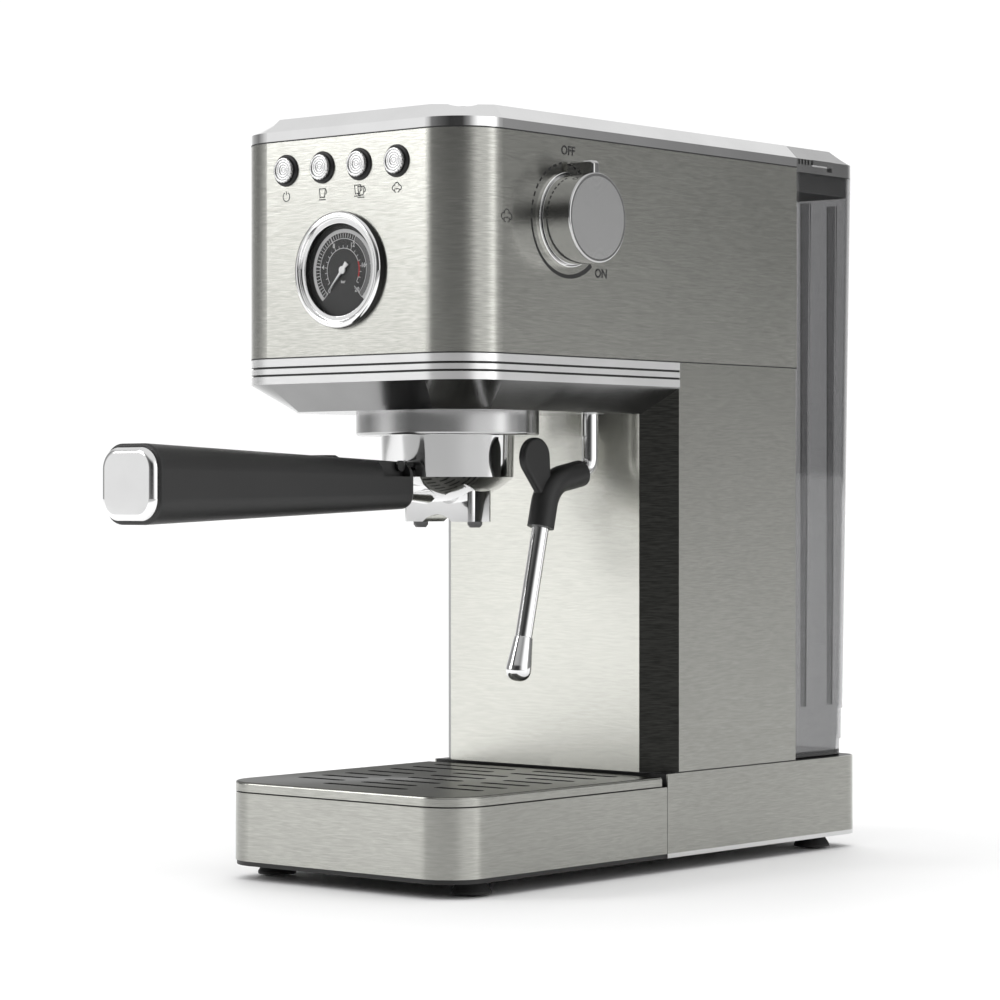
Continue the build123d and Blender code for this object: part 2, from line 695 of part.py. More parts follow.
# Group
def make_group_collar():
    """Bayonet ring: a lip with two gaps that let the ears of the portafilter in."""
    low = HEAD_UNDERSIDE - COLLAR_HEIGHT
    profile = [(LIP_RADIUS, low), (COLLAR_RADIUS, low), (COLLAR_RADIUS, HEAD_UNDERSIDE),
               (CATCH_RADIUS, HEAD_UNDERSIDE), (CATCH_RADIUS, LIP_TOP), (LIP_RADIUS, LIP_TOP)]
    collar = turned(profile, (0, GROUP_Y, 0), UP, [0.8, 1.2, 0, 0, 0, 0])
    for facing in (-UNLOCK_ANGLE, 180.0 - UNLOCK_ANGLE):
        gap = sector(CATCH_RADIUS, EAR_ANGLE + GAP_ANGLE, facing)
        collar = collar - Pos(0, GROUP_Y) * raised(gap, low, LIP_TOP)
    return collar


def make_boiler():
    """Heating block with the brewing recess below and ports for water and steam."""
    seat = HEAD_UNDERSIDE + GASKET_HEIGHT
    top = HEAD_UNDERSIDE + BOILER_HEIGHT
    screen_seat = seat - SCREEN_SUNK
    flange = CHASSIS_FLOOR + BOILER_FLANGE_THICK
    profile = [(0, screen_seat), (BOILER_BOSS, screen_seat), (BOILER_BOSS, seat), (GASKET_RADIUS, seat),
               (GASKET_RADIUS, HEAD_UNDERSIDE), (BOILER_RADIUS, HEAD_UNDERSIDE),
               (BOILER_RADIUS, CHASSIS_FLOOR), (BOILER_RADIUS + BOILER_FLANGE, CHASSIS_FLOOR),
               (BOILER_RADIUS + BOILER_FLANGE, flange), (BOILER_RADIUS, flange),
               (BOILER_RADIUS, top - BOILER_SLOPE), (BOILER_RADIUS - BOILER_SLOPE, top), (0, top)]
    boiler = turned(profile, (0, GROUP_Y, 0), UP)
    port = rod((0, BOILER_BACK - WALL, BOILER_PORT_Z), BACK, HOSE_RADIUS + HOSE_CLEAR, NIPPLE_LENGTH)
    steam_port = rod((0, GROUP_Y, top - WALL), UP, BOILER_BOSS, NIPPLE_LENGTH)
    return boiler + port + steam_port


def make_group_gasket():
    """Rubber ring that the rim of the basket closes against."""
    return ring((0, GROUP_Y, HEAD_UNDERSIDE), UP, GASKET_RADIUS, SCREEN_RADIUS + CATCH_CLEAR, GASKET_HEIGHT)


def make_shower_screen():
    """Pierced disc that spreads the water, held by one screw."""
    top = HEAD_UNDERSIDE + GASKET_HEIGHT - SCREEN_SUNK
    screen = Circle(SCREEN_RADIUS)
    for radius in SCREEN_RINGS:
        screen = screen - PolarLocations(radius, int(radius * 0.75)) * Circle(SCREEN_HOLE)
    disc = raised(screen, top - SCREEN_THICK, top)
    head = rod((0, 0, top - 2 * SCREEN_THICK), UP, BOILER_BOSS / 2, SCREEN_THICK)
    return Pos(0, GROUP_Y) * (disc + head)


# Portafilter
def basin_block(inset):
    """Solid basin with a shallow domed floor, moved in by an inset."""
    low = BASIN_BOTTOM + inset
    edge = BASIN_RADIUS - BASIN_DRAFT - inset
    ball = (edge ** 2 + BASIN_DOME ** 2) / (2 * BASIN_DOME)
    half_turn = math.asin(edge / ball) / 2
    middle = (ball * math.sin(half_turn), low + ball - ball * math.cos(half_turn))
    dome = ThreePointArc((0, low), middle, (edge, low + BASIN_DOME))
    wall = Polyline((edge, low + BASIN_DOME), (BASIN_RADIUS - inset, RIM_TOP), (0, RIM_TOP), (0, low))
    face = Plane.XZ * make_face([dome, wall])
    return Pos(0, GROUP_Y) * revolve(face, Axis.Z)


def make_portafilter_body():
    """Chromed basin with two locking ears and the neck that holds the handle."""
    ears = Sketch()
    for facing in (0.0, 180.0):
        ears += sector(BASIN_RADIUS + EAR_REACH, EAR_ANGLE, facing)
    body = basin_block(0.0) + Pos(0, GROUP_Y) * raised(ears, LIP_TOP, LIP_TOP + EAR_THICK)
    root = GROUP_Y - BASIN_RADIUS / 2 - HANDLE_START + NECK_DEPTH
    neck = [(0, 0), (TANG_RADIUS, 0), (TANG_RADIUS, NECK_DEPTH), (NECK_RADIUS, NECK_DEPTH), (NECK_FLARE, root), (0, root)]
    body = body + turned(neck, (0, HANDLE_START - NECK_DEPTH, HANDLE_Z), BACK)
    return body - basin_block(BASIN_WALL)


def make_filter_basket():
    """Thin steel cup with a rolled rim that hangs in the basin."""
    rim = RIM_TOP + BASKET_SHEET
    low = RIM_TOP - BASKET_DEPTH
    inner = BASKET_RADIUS - BASKET_SHEET
    profile = [(0, low), (BASKET_RADIUS - 1, low), (BASKET_RADIUS, RIM_TOP), (BASIN_RADIUS - LIP_CLEAR, RIM_TOP),
               (BASIN_RADIUS - LIP_CLEAR, rim), (inner, rim), (inner - 1, low + BASKET_SHEET), (0, low + BASKET_SHEET)]
    basket = turned(profile, (0, GROUP_Y, 0), UP)
    holes = Sketch()
    for radius in BASKET_RINGS:
        holes += PolarLocations(radius, int(radius * 0.8)) * Circle(BASKET_HOLE)
    return basket - Pos(0, GROUP_Y) * raised(holes, low, low + BASKET_SHEET)


def make_spout_block():
    """Twin spout under the basin, arched between its two outlets."""
    outline = Pos(0, GROUP_Y) * RectangleRounded(SPOUT_WIDTH, SPOUT_DEPTH, SPOUT_CORNER)
    block = raised(outline, SPOUT_BOTTOM, SPOUT_TOP) - basin_block(0.0)
    arch_z = SPOUT_BOTTOM + SPOUT_ARCH_RISE - SPOUT_ARCH
    block = block - rod((0, GROUP_Y - SPOUT_DEPTH, arch_z), BACK, SPOUT_ARCH, 2 * SPOUT_DEPTH)
    for side in (-1, 1):
        spot = (side * SPOUT_SPACING / 2, GROUP_Y, SPOUT_BOTTOM)
        block = block - rod(spot, UP, NOZZLE_STEM, NOZZLE_SEAT)
    return block


def make_spout_nozzles():
    """Two outlet rings pushed into the spout."""
    top = NOZZLE_DROP + NOZZLE_SEAT
    profile = [(NOZZLE_BORE, 0), (NOZZLE_RADIUS - WALL / 2, 0), (NOZZLE_RADIUS, NOZZLE_DROP / 2),
               (NOZZLE_RADIUS, NOZZLE_DROP), (NOZZLE_STEM, NOZZLE_DROP), (NOZZLE_STEM, top), (NOZZLE_BORE, top)]
    low = SPOUT_BOTTOM - NOZZLE_DROP
    spots = [(side * SPOUT_SPACING / 2, GROUP_Y, low) for side in (-1, 1)]
    return [turned(profile, spot, UP) for spot in spots]


def across(y):
    """Plane across the handle, looking from the front with Z up."""
    return Plane((0, y, HANDLE_Z), x_dir=RIGHT, z_dir=FRONT)


def make_portafilter_handle():
    """Tapered grip with a channel on top for the basket clip."""
    near = across(HANDLE_START) * RectangleRounded(HANDLE_NEAR_WIDTH, HANDLE_NEAR_HEIGHT, HANDLE_NEAR_ROUND)
    far = across(HANDLE_END) * RectangleRounded(HANDLE_END_WIDTH, HANDLE_END_HEIGHT, HANDLE_END_ROUND)
    grip = loft([near, far], ruled=True)
    grip = fillet(grip.edges().group_by(Axis.Y)[-1], 3.0)
    grip = fillet(grip.edges().group_by(Axis.Y)[0], 1.0)
    grip = grip - rod((0, HANDLE_START - NECK_DEPTH, HANDLE_Z), BACK, TANG_RADIUS, 2 * NECK_DEPTH)
    half = CLIP_WIDTH / 2 + GAP
    floor = CLIP_PIVOT_Z - CLIP_THICK / 2 - GAP
    grip = grip - slab(-half, half, CLIP_PIVOT_Y - CLIP_LENGTH - GAP, HANDLE_START + WALL, floor, TOP)
    for outer, inner in ((-HANDLE_END_WIDTH, -CLIP_CHEEK_X), (CLIP_CHEEK_X, HANDLE_END_WIDTH)):
        grip = grip - slab(outer, inner, CLIP_PIVOT_Y - CLIP_NOTCH, CLIP_PIVOT_Y + CLIP_EAR + GAP,
                           CLIP_PIVOT_Z - CLIP_NOTCH_DROP, TOP)
    return grip - rod((-CLIP_PIN_HALF, CLIP_PIVOT_Y, CLIP_PIVOT_Z), RIGHT, CLIP_PIN + RUNNING_FIT, 2 * CLIP_PIN_HALF)


def make_handle_cap():
    """Domed chromed cap on the end of the grip."""
    width = HANDLE_END_WIDTH - 2 * HANDLE_CAP_MARGIN
    height = HANDLE_END_HEIGHT - 2 * HANDLE_CAP_MARGIN
    face = across(HANDLE_END) * RectangleRounded(width, height, HANDLE_END_ROUND - HANDLE_CAP_MARGIN)
    cap = extrude(face, HANDLE_CAP)
    return fillet(cap.edges().group_by(Axis.Y)[0], HANDLE_CAP * 0.8)


def make_basket_clip():
    """Flip clip that lies along the grip, with a raised thumb tab and pivot pins."""
    half_thick = CLIP_THICK / 2
    rear = CLIP_PIVOT_Y - CLIP_LENGTH
    side = Plane((-CLIP_WIDTH / 2, 0, 0), x_dir=BACK, z_dir=RIGHT)
    low = CLIP_PIVOT_Z - half_thick
    high = CLIP_PIVOT_Z + half_thick
    crest = high + CLIP_TAB_RISE
    points = [(CLIP_PIVOT_Y + half_thick, low), (CLIP_PIVOT_Y + half_thick, high), (rear + CLIP_TAB, high),
              (rear + 0.6 * CLIP_TAB, crest), (rear + 0.2 * CLIP_TAB, crest), (rear, high), (rear, low)]
    outline = FilletPolyline(*points, radius=[1.7, 1.7, 2, 2, 2, 1, 0.5], close=True)
    clip = extrude(side * make_face(outline), CLIP_WIDTH)
    clip = clip + rod((-CLIP_PIN_HALF, CLIP_PIVOT_Y, CLIP_PIVOT_Z), RIGHT, CLIP_PIN, 2 * CLIP_PIN_HALF)
    for x in (-CLIP_PIN_HALF, CLIP_PIN_HALF - CLIP_EAR_THICK):
        clip = clip + rod((x, CLIP_PIVOT_Y, CLIP_PIVOT_Z), RIGHT, CLIP_EAR, CLIP_EAR_THICK)
    return clip


# Gauge and buttons
def make_gauge_bezel():
    """Rounded chromed ring that holds the lens and the dial."""
    pocket = CASE_RADIUS + GAP
    crest = GAUGE_RADIUS - GAUGE_RING
    profile = [(DIAL_RADIUS - DIAL_LIP, LENS_THICK), (DIAL_RADIUS - DIAL_LIP, GAUGE_STEP), (crest, GAUGE_STEP),
               (crest, GAUGE_PROUD), (GAUGE_RADIUS, GAUGE_PROUD), (GAUGE_RADIUS, 0), (pocket, 0), (pocket, LENS_THICK)]
    return turned(profile, (CONTROL_X, 0, GAUGE_Z), FRONT, [0, 0.2, 0.3, 0.9, 1.6, 0, 0, 0])


def make_gauge_case():
    """Closed cup behind the dial that holds the gauge works."""
    case = ring((CONTROL_X, 0, GAUGE_Z), BACK, CASE_RADIUS, DIAL_RADIUS, GAUGE_DEPTH)
    case = case + rod((CONTROL_X, GAUGE_DEPTH - WALL, GAUGE_Z), BACK, CASE_RADIUS, WALL)
    return case + rod((CONTROL_X, GAUGE_DEPTH, GAUGE_Z), BACK, HOSE_RADIUS, GAUGE_STUB)


def make_gauge_dial():
    """Printed plate under the needle."""
    return ring((CONTROL_X, DIAL_SUNK, GAUGE_Z), BACK, DIAL_RADIUS, SPINDLE_RADIUS + RUNNING_FIT, DIAL_THICK)


def make_gauge_lens():
    """Clear disc behind the lip of the bezel."""
    return rod((CONTROL_X, -LENS_THICK, GAUGE_Z), BACK, CASE_RADIUS, LENS_THICK)


def make_gauge_needle():
    """Tapered pointer on its spindle, resting on zero."""
    half = NEEDLE_HALF
    pointer = Polyline((-2 * half, -NEEDLE_TAIL), (2 * half, -NEEDLE_TAIL), (half, 0), (0, NEEDLE_LENGTH), (-half, 0),
                       close=True)
    blade = extrude(make_face(pointer) + Circle(NEEDLE_HUB), NEEDLE_THICK)
    front = (DIAL_SUNK - NEEDLE_THICK) / 2
    face = Plane((CONTROL_X, front + NEEDLE_THICK, GAUGE_Z), x_dir=RIGHT, z_dir=FRONT)
    needle = face * (Rot(0, 0, NEEDLE_REST) * blade)
    return needle + rod((CONTROL_X, front, GAUGE_Z), BACK, SPINDLE_RADIUS, SPINDLE_LENGTH)


def make_button_rings():
    """Four black rings, each with a sleeve that guides its button."""
    bore = BUTTON_RADIUS + RUNNING_FIT
    profile = [(bore, -SLEEVE_DEPTH), (RING_HOLE, -SLEEVE_DEPTH), (RING_HOLE, 0), (RING_RADIUS, 0),
               (RING_RADIUS, RING_PROUD), (bore, RING_PROUD)]
    rounds = [0, 0, 0, 0, 0.6, 0.2]
    return [turned(profile, (x, 0, BUTTON_Z), FRONT, rounds) for x in BUTTON_X]


def make_push_button(x):
    """Turned cap with a shallow dish, on a stem that reaches the switch."""
    stem_end = BUTTON_TRAVEL + SWITCH_SLACK - SWITCH_FACE
    dish = BUTTON_PROUD - BUTTON_DISH
    rim = BUTTON_RADIUS - BUTTON_RIM
    profile = [(0, stem_end), (BUTTON_STEM, stem_end), (BUTTON_STEM, -SLEEVE_DEPTH), (BUTTON_RADIUS, -SLEEVE_DEPTH),
               (BUTTON_RADIUS, BUTTON_PROUD), (rim, BUTTON_PROUD), (rim, dish), (rim / 2, dish),
               (rim / 2, dish - BUTTON_DISH / 2), (0, dish - BUTTON_DISH / 2)]
    cap = turned(profile, (x, 0, BUTTON_Z), FRONT, [0, 0, 0, 0, 0.5, 0.2, 0, 0, 0, 0])
    notches = PolarLocations(BUTTON_RADIUS, NOTCH_COUNT) * Circle(NOTCH_RADIUS)
    face = Plane((x, NOTCH_DEPTH - BUTTON_PROUD, BUTTON_Z), x_dir=RIGHT, z_dir=FRONT)
    return cap - face * extrude(Sketch() + notches, NOTCH_DEPTH)


def make_control_board():
    """Circuit board behind the buttons with one switch for each."""
    half = BOARD_POST + BOARD_EDGE
    board = slab(-half, half, BOARD_Y, BOARD_Y + BOARD_THICK, BUTTON_Z - BOARD_HALF, BUTTON_Z + BOARD_HALF)
    for x in BUTTON_X:
        board = board + slab(x - SWITCH_HALF, x + SWITCH_HALF, SWITCH_FACE, BOARD_Y,
                             BUTTON_Z - SWITCH_HALF, BUTTON_Z + SWITCH_HALF)
    return board


# Steam knob, valve and wand
def make_knob_collar():
    """Flat ring on the side of the head behind the knob."""
    collar = ring((HEAD_HALF, KNOB_Y, KNOB_Z), RIGHT, KNOB_COLLAR, STEM_RADIUS + STEM_CLEAR, KNOB_COLLAR_THICK)
    return fillet(collar.edges().group_by(Axis.X)[-1].sort_by(SortBy.RADIUS)[-1], GAP)


def make_steam_knob():
    """Turned knob with a pointer fin along its rim and a recess for the face disc."""
    length = KNOB_FACE - KNOB_BACK
    disc = length - KNOB_CAP_THICK
    profile = [(0, 0), (KNOB_RADIUS, 0), (KNOB_RADIUS, length), (KNOB_CAP_RADIUS, length),
               (KNOB_CAP_RADIUS, disc), (0, disc)]
    knob = turned(profile, (KNOB_BACK, KNOB_Y, KNOB_Z), RIGHT, [0, 0.6, 0.8, 0, 0, 0])
    fin_top = KNOB_Z + KNOB_RADIUS + KNOB_FIN
    half = KNOB_FIN_THICK / 2
    end = KNOB_FACE - KNOB_CAP_THICK
    fin = slab(KNOB_BACK, end, KNOB_Y - half, KNOB_Y + half, KNOB_Z + KNOB_CAP_RADIUS, fin_top)
    outer_top = fin.edges().group_by(Axis.Z)[-1].sort_by(Axis.X)[-1]
    fin = fillet(outer_top, KNOB_FIN_ROUND)
    fin = fillet(fin.edges().group_by(Axis.Z)[-1].filter_by(Axis.X), KNOB_FIN_ROUND / 2)
    bore = rod((KNOB_BACK, KNOB_Y, KNOB_Z), RIGHT, STEM_RADIUS, STEM_END - KNOB_BACK)
    return knob + fin - bore


def make_knob_cap():
    """Face disc of the knob."""
    return rod((KNOB_FACE - KNOB_CAP_THICK, KNOB_Y, KNOB_Z), RIGHT, KNOB_CAP_RADIUS, KNOB_CAP_THICK)


def make_valve_stem():
    """Spindle from the knob into the steam valve."""
    seat = VALVE_INNER + VALVE_SEAT
    return rod((seat, KNOB_Y, KNOB_Z), RIGHT, STEM_RADIUS, STEM_END - seat)


def make_steam_valve():
    """Brass valve body fixed to the inside of the head."""
    nut_start = CHASSIS_HALF - WALL - VALVE_NUT
    body = rod((VALVE_INNER, KNOB_Y, KNOB_Z), RIGHT, VALVE_RADIUS, VALVE_LENGTH)
    nut = Plane((nut_start, KNOB_Y, KNOB_Z), z_dir=RIGHT) * extrude(RegularPolygon(VALVE_RADIUS + WALL, 6), VALVE_NUT)
    outlet = rod((VALVE_INNER + VALVE_PORT, KNOB_Y, VALVE_PORT_Z), UP, PIPE_RADIUS + WALL, VALVE_RADIUS)
    inlet = rod((VALVE_INNER - VALVE_SPIGOT, KNOB_Y, KNOB_Z), RIGHT, PIPE_RADIUS + WALL, VALVE_PORT)
    stem_way = rod((VALVE_INNER + VALVE_SEAT, KNOB_Y, KNOB_Z), RIGHT, STEM_RADIUS + RUNNING_FIT, VALVE_LENGTH)
    return body + nut + outlet + inlet - stem_way


def make_steam_pipe():
    """Pipe from the steam valve down to the swivel of the wand."""
    x = VALVE_INNER + VALVE_PORT
    run = (VALVE_PORT_Z + NUT_TOP) / 2
    points = [(x, KNOB_Y, VALVE_PORT_Z), (x, KNOB_Y, run), (WAND_X, WAND_Y, run), (WAND_X, WAND_Y, NUT_TOP)]
    return bent_tube(points, PIPE_RADIUS, PIPE_BEND)


def make_wand_nut():
    """Swivel socket in the underside that carries the wand by its collar."""
    bore = WAND_RADIUS + RUNNING_FIT
    seat = bore + SWIVEL_LIP
    step = TRIM_BOTTOM
    profile = [(bore, HEAD_UNDERSIDE), (NUT_RADIUS, HEAD_UNDERSIDE), (NUT_RADIUS, CHASSIS_FLOOR),
               (NUT_RADIUS + NUT_FLANGE, CHASSIS_FLOOR), (NUT_RADIUS + NUT_FLANGE, NUT_TOP), (0, NUT_TOP),
               (0, NUT_TOP - WALL), (seat, NUT_TOP - WALL), (seat, step), (bore, step)]
    return turned(profile, (WAND_X, WAND_Y, 0), UP)


def wand_points():
    """Corners of the wand from the swivel to the tip."""
    return [(WAND_X, WAND_Y, CHASSIS_FLOOR), (WAND_X, WAND_Y, WAND_BEND_Z),
            (WAND_X, WAND_ELBOW_Y, WAND_ELBOW_Z), (WAND_X, WAND_END_Y, WAND_END_Z)]


def make_wand_tube():
    """Bent steam tube, hung in the swivel by a collar at its top."""
    tube = bent_tube(wand_points(), WAND_RADIUS, [WAND_UPPER_BEND, WAND_ELBOW_BEND], WAND_RADIUS - WAND_WALL)
    collar = ring((WAND_X, WAND_Y, TRIM_BOTTOM), UP, WAND_RADIUS + SWIVEL_LIP - GAP / 2, WAND_RADIUS - WAND_WALL / 2, FLOOR_THICK)
    return tube + collar


def wand_down():
    """Direction of the lower run of the wand."""
    return (Vector(*wand_points()[3]) - Vector(*wand_points()[2])).normalized()


def make_wand_sleeve():
    """Heat guard round the elbow with a round thumb paddle above it."""
    first, upper, elbow, end = [Vector(*p) for p in wand_points()]
    upper_run = (upper - elbow).normalized()
    start = elbow + upper_run * SLEEVE_ARM
    stop = elbow + wand_down() * SLEEVE_REACH
    sleeve = bent_tube([start, elbow, stop], SLEEVE_RADIUS, [WAND_ELBOW_BEND])
    face = Plane((WAND_X - PADDLE_THICK / 2, 0, 0), x_dir=BACK, z_dir=RIGHT)
    foot = elbow + wand_down() * (SLEEVE_REACH * 0.35)
    disc = Pos(PADDLE_Y, PADDLE_Z) * Circle(PADDLE_RADIUS)
    stalk = Pos(foot.Y, foot.Z) * Circle(PADDLE_FOOT)
    drop = make_hull([*disc.edges(), *stalk.edges()])
    paddle = extrude(face * drop, PADDLE_THICK)
    paddle = fillet(paddle.edges().group_by(Axis.X)[-1] + paddle.edges().group_by(Axis.X)[0], PADDLE_THICK * 0.3)
    core = bent_tube(wand_points()[1:], WAND_RADIUS, [WAND_ELBOW_BEND])
    return sleeve + paddle - core


def make_wand_tip():
    """Steam nozzle screwed on the end of the wand."""
    profile = [(0, 0), (WAND_RADIUS + GAP, 0), (TIP_RADIUS, TIP_LENGTH * 0.7), (TIP_RADIUS, TIP_LENGTH), (0, TIP_LENGTH)]
    return turned(profile, wand_points()[3], wand_down(), [0, 0.4, 8.0, TIP_RADIUS * 0.85, 0])


# Water tank
def tank_outline(inset, draft):
    """Tank seen from above, drawn in by an inset and by its draft."""
    half = TANK_HALF - draft - inset
    rear = TANK_REAR - draft - inset
    return plan(half, TANK_FRONT + inset, rear, WALL, TANK_CORNER - inset)


def tank_block(inset, lift):
    """Tank body in three steps, each wider than the one below it, moved in by an inset."""
    height = TANK_TOP - BASE_TOP
    levels = [BASE_TOP, *[BASE_TOP + shelf + inset for shelf in TANK_SHELVES], TANK_TOP]
    levels[0] = levels[0] + lift
    drafts = [TANK_DRAFT * (TANK_TOP - level) / height for level in levels]
    steps = len(levels) - 1
    body = None
    for i in range(steps):
        depth = inset + (steps - 1 - i) * TANK_SHELF
        low = tank_outline(depth, drafts[i])
        high = tank_outline(depth, drafts[i + 1])
        step = tapered(low, levels[i], high, levels[i + 1])
        body = step if body is None else body + step
    return body


def make_water_tank():
    """Clear tank, stepped in towards the bottom, with ribs inside and a valve hole in its floor."""
    outer = tank_block(0.0, 0.0)
    tank = outer - tank_block(TANK_WALL, TANK_FLOOR)
    inner = TANK_HALF - TANK_DRAFT - TANK_WALL - RIB_DEPTH
    low = BASE_TOP + TANK_SHELVES[-1] + TANK_WALL
    for place in RIB_PLACES:
        y = TANK_FRONT + place
        for side in (-1, 1):
            near, far = sorted((side * inner, side * (TANK_HALF - TANK_WALL / 2)))
            tank = tank + (slab(near, far, y, y + RIB_THICK, low, TANK_TOP - RIB_TOP) & outer)
    return tank - rod((0, VALVE_Y, BASE_TOP), UP, VALVE_BORE, TANK_FLOOR)


def make_tank_valve():
    """Check valve in the tank floor with a nose that reaches into the socket."""
    floor = BASE_TOP + TANK_FLOOR
    low = BASE_TOP - VALVE_NOSE_LENGTH
    cage = VALVE_BORE - WALL
    profile = [(VALVE_WAY, low), (VALVE_NOSE, low), (VALVE_NOSE, BASE_TOP), (VALVE_BORE, BASE_TOP),
               (VALVE_BORE, floor), (VALVE_BORE + VALVE_FLANGE, floor), (VALVE_BORE + VALVE_FLANGE, floor + WALL),
               (cage, floor + WALL), (cage, floor + VALVE_CAGE), (VALVE_WAY, floor + VALVE_CAGE)]
    return turned(profile, (0, VALVE_Y, 0), UP)


def make_tank_lid():
    """Lift-off lid that carries on the top trim, with a flange inside the tank."""
    lid = top_block(TANK_HALF, TANK_FRONT, TANK_REAR, 0.0, TANK_CORNER, 0.0, TANK_CORNER, TANK_TOP)
    lid = lid - raised(tank_outline(LID_SHELL, 0.0), TANK_TOP, BEVEL_BOTTOM)
    clear = TANK_WALL + 2 * GAP
    flange = tank_outline(clear, 0.0) - tank_outline(LID_SHELL + GAP, 0.0)
    lid = lid + raised(flange, TANK_TOP - LID_FLANGE, TANK_TOP)
    lip_start = TANK_FRONT + LID_LIP_START
    for side in (-1, 1):
        near, far = sorted((side * (TANK_HALF - LID_LIP), side * HEAD_HALF))
        lip_low = BEVEL_BOTTOM - LID_LIP_HEIGHT
        lip_end = lip_start + LID_LIP_LENGTH
        lid = lid - slab(near, far, lip_start, lip_end, lip_low - LID_LIP_HEIGHT, lip_low)
        lid = lid + slab(near, far, lip_start, lip_end, lip_low, BEVEL_BOTTOM)
        for groove in range(LID_GROOVES):
            y = TANK_FRONT + LID_GROOVE_PITCH * (groove + 0.6)
            lid = lid - slab(near, far, y, y + LID_GROOVE_WIDTH, BEVEL_BOTTOM - LID_GROOVE_HEIGHT, BEVEL_BOTTOM)
    return lid


# Pump line
def make_pump_shelf():
    """Steel shelf across the column that carries the pump."""
    half = COLUMN_HALF - SHEET - WALL
    shelf = slab(-half, half, PUMP_Y - SHELF_AHEAD, HEAD_DEPTH - WALL, PUMP_SHELF_Z, PUMP_SHELF_Z + SHELF_THICK)
    return shelf - rod((0, PUMP_Y, 0), UP, 2 * HOSE_RADIUS, TOP)


def make_pump_mounts():
    """Four rubber blocks between shelf and pump."""
    reach = PUMP_WIDTH / 2 - MOUNT_HEIGHT
    back = reach - PUMP_SLIM
    spots = [(x, PUMP_Y + y) for x in (-reach, reach) for y in (-back, back)]
    return [rod((x, y, PUMP_SHELF_Z + SHELF_THICK), UP, MOUNT_RADIUS, MOUNT_HEIGHT) for x, y in spots]


def make_pump():
    """Vibration pump: coil block in a steel frame with an inlet below and an outlet above."""
    half = PUMP_WIDTH / 2
    slim = half - PUMP_SLIM
    coil = slab(-half, half, PUMP_Y - slim, PUMP_Y + slim, PUMP_LOW, PUMP_TOP)
    coil = fillet(coil.edges().filter_by(Axis.Z), HOSE_RADIUS)
    inlet = PUMP_LOW - PUMP_INLET
    nipple = HOSE_BORE + HOSE_CLEAR / 2
    shoulder = PUMP_TOP + PUMP_INLET
    profile = [(0, inlet), (nipple, inlet), (nipple, PUMP_LOW), (PUMP_CORE, PUMP_LOW), (PUMP_CORE, shoulder),
               (PUMP_CORE / 2, shoulder + HOSE_RADIUS), (nipple, shoulder + HOSE_RADIUS),
               (nipple, PUMP_TOP + PUMP_NOSE), (0, PUMP_TOP + PUMP_NOSE)]
    return coil + turned(profile, (0, PUMP_Y, 0), UP)


def make_suction_hose():
    """Hose from the tank socket to the pump."""
    low = BASE_TOP - SOCKET_DEPTH - NIPPLE_LENGTH
    run = PAN_TOP + HOSE_RADIUS + HOSE_CLEAR
    points = [(0, VALVE_Y, low), (0, VALVE_Y, run), (0, PUMP_Y, run), (0, PUMP_Y, PUMP_LOW - PUMP_INLET)]
    return bent_tube(points, HOSE_RADIUS, [8.0, 12.0])


def make_pressure_hose():
    """Hose from the pump up to the heating block."""
    low = PUMP_TOP + PUMP_NOSE
    port_end = BOILER_BACK - WALL + NIPPLE_LENGTH
    points = [(0, PUMP_Y, low), (0, PUMP_Y, BOILER_PORT_Z), (0, port_end, BOILER_PORT_Z)]
    return bent_tube(points, HOSE_RADIUS - 0.5, [16.0])


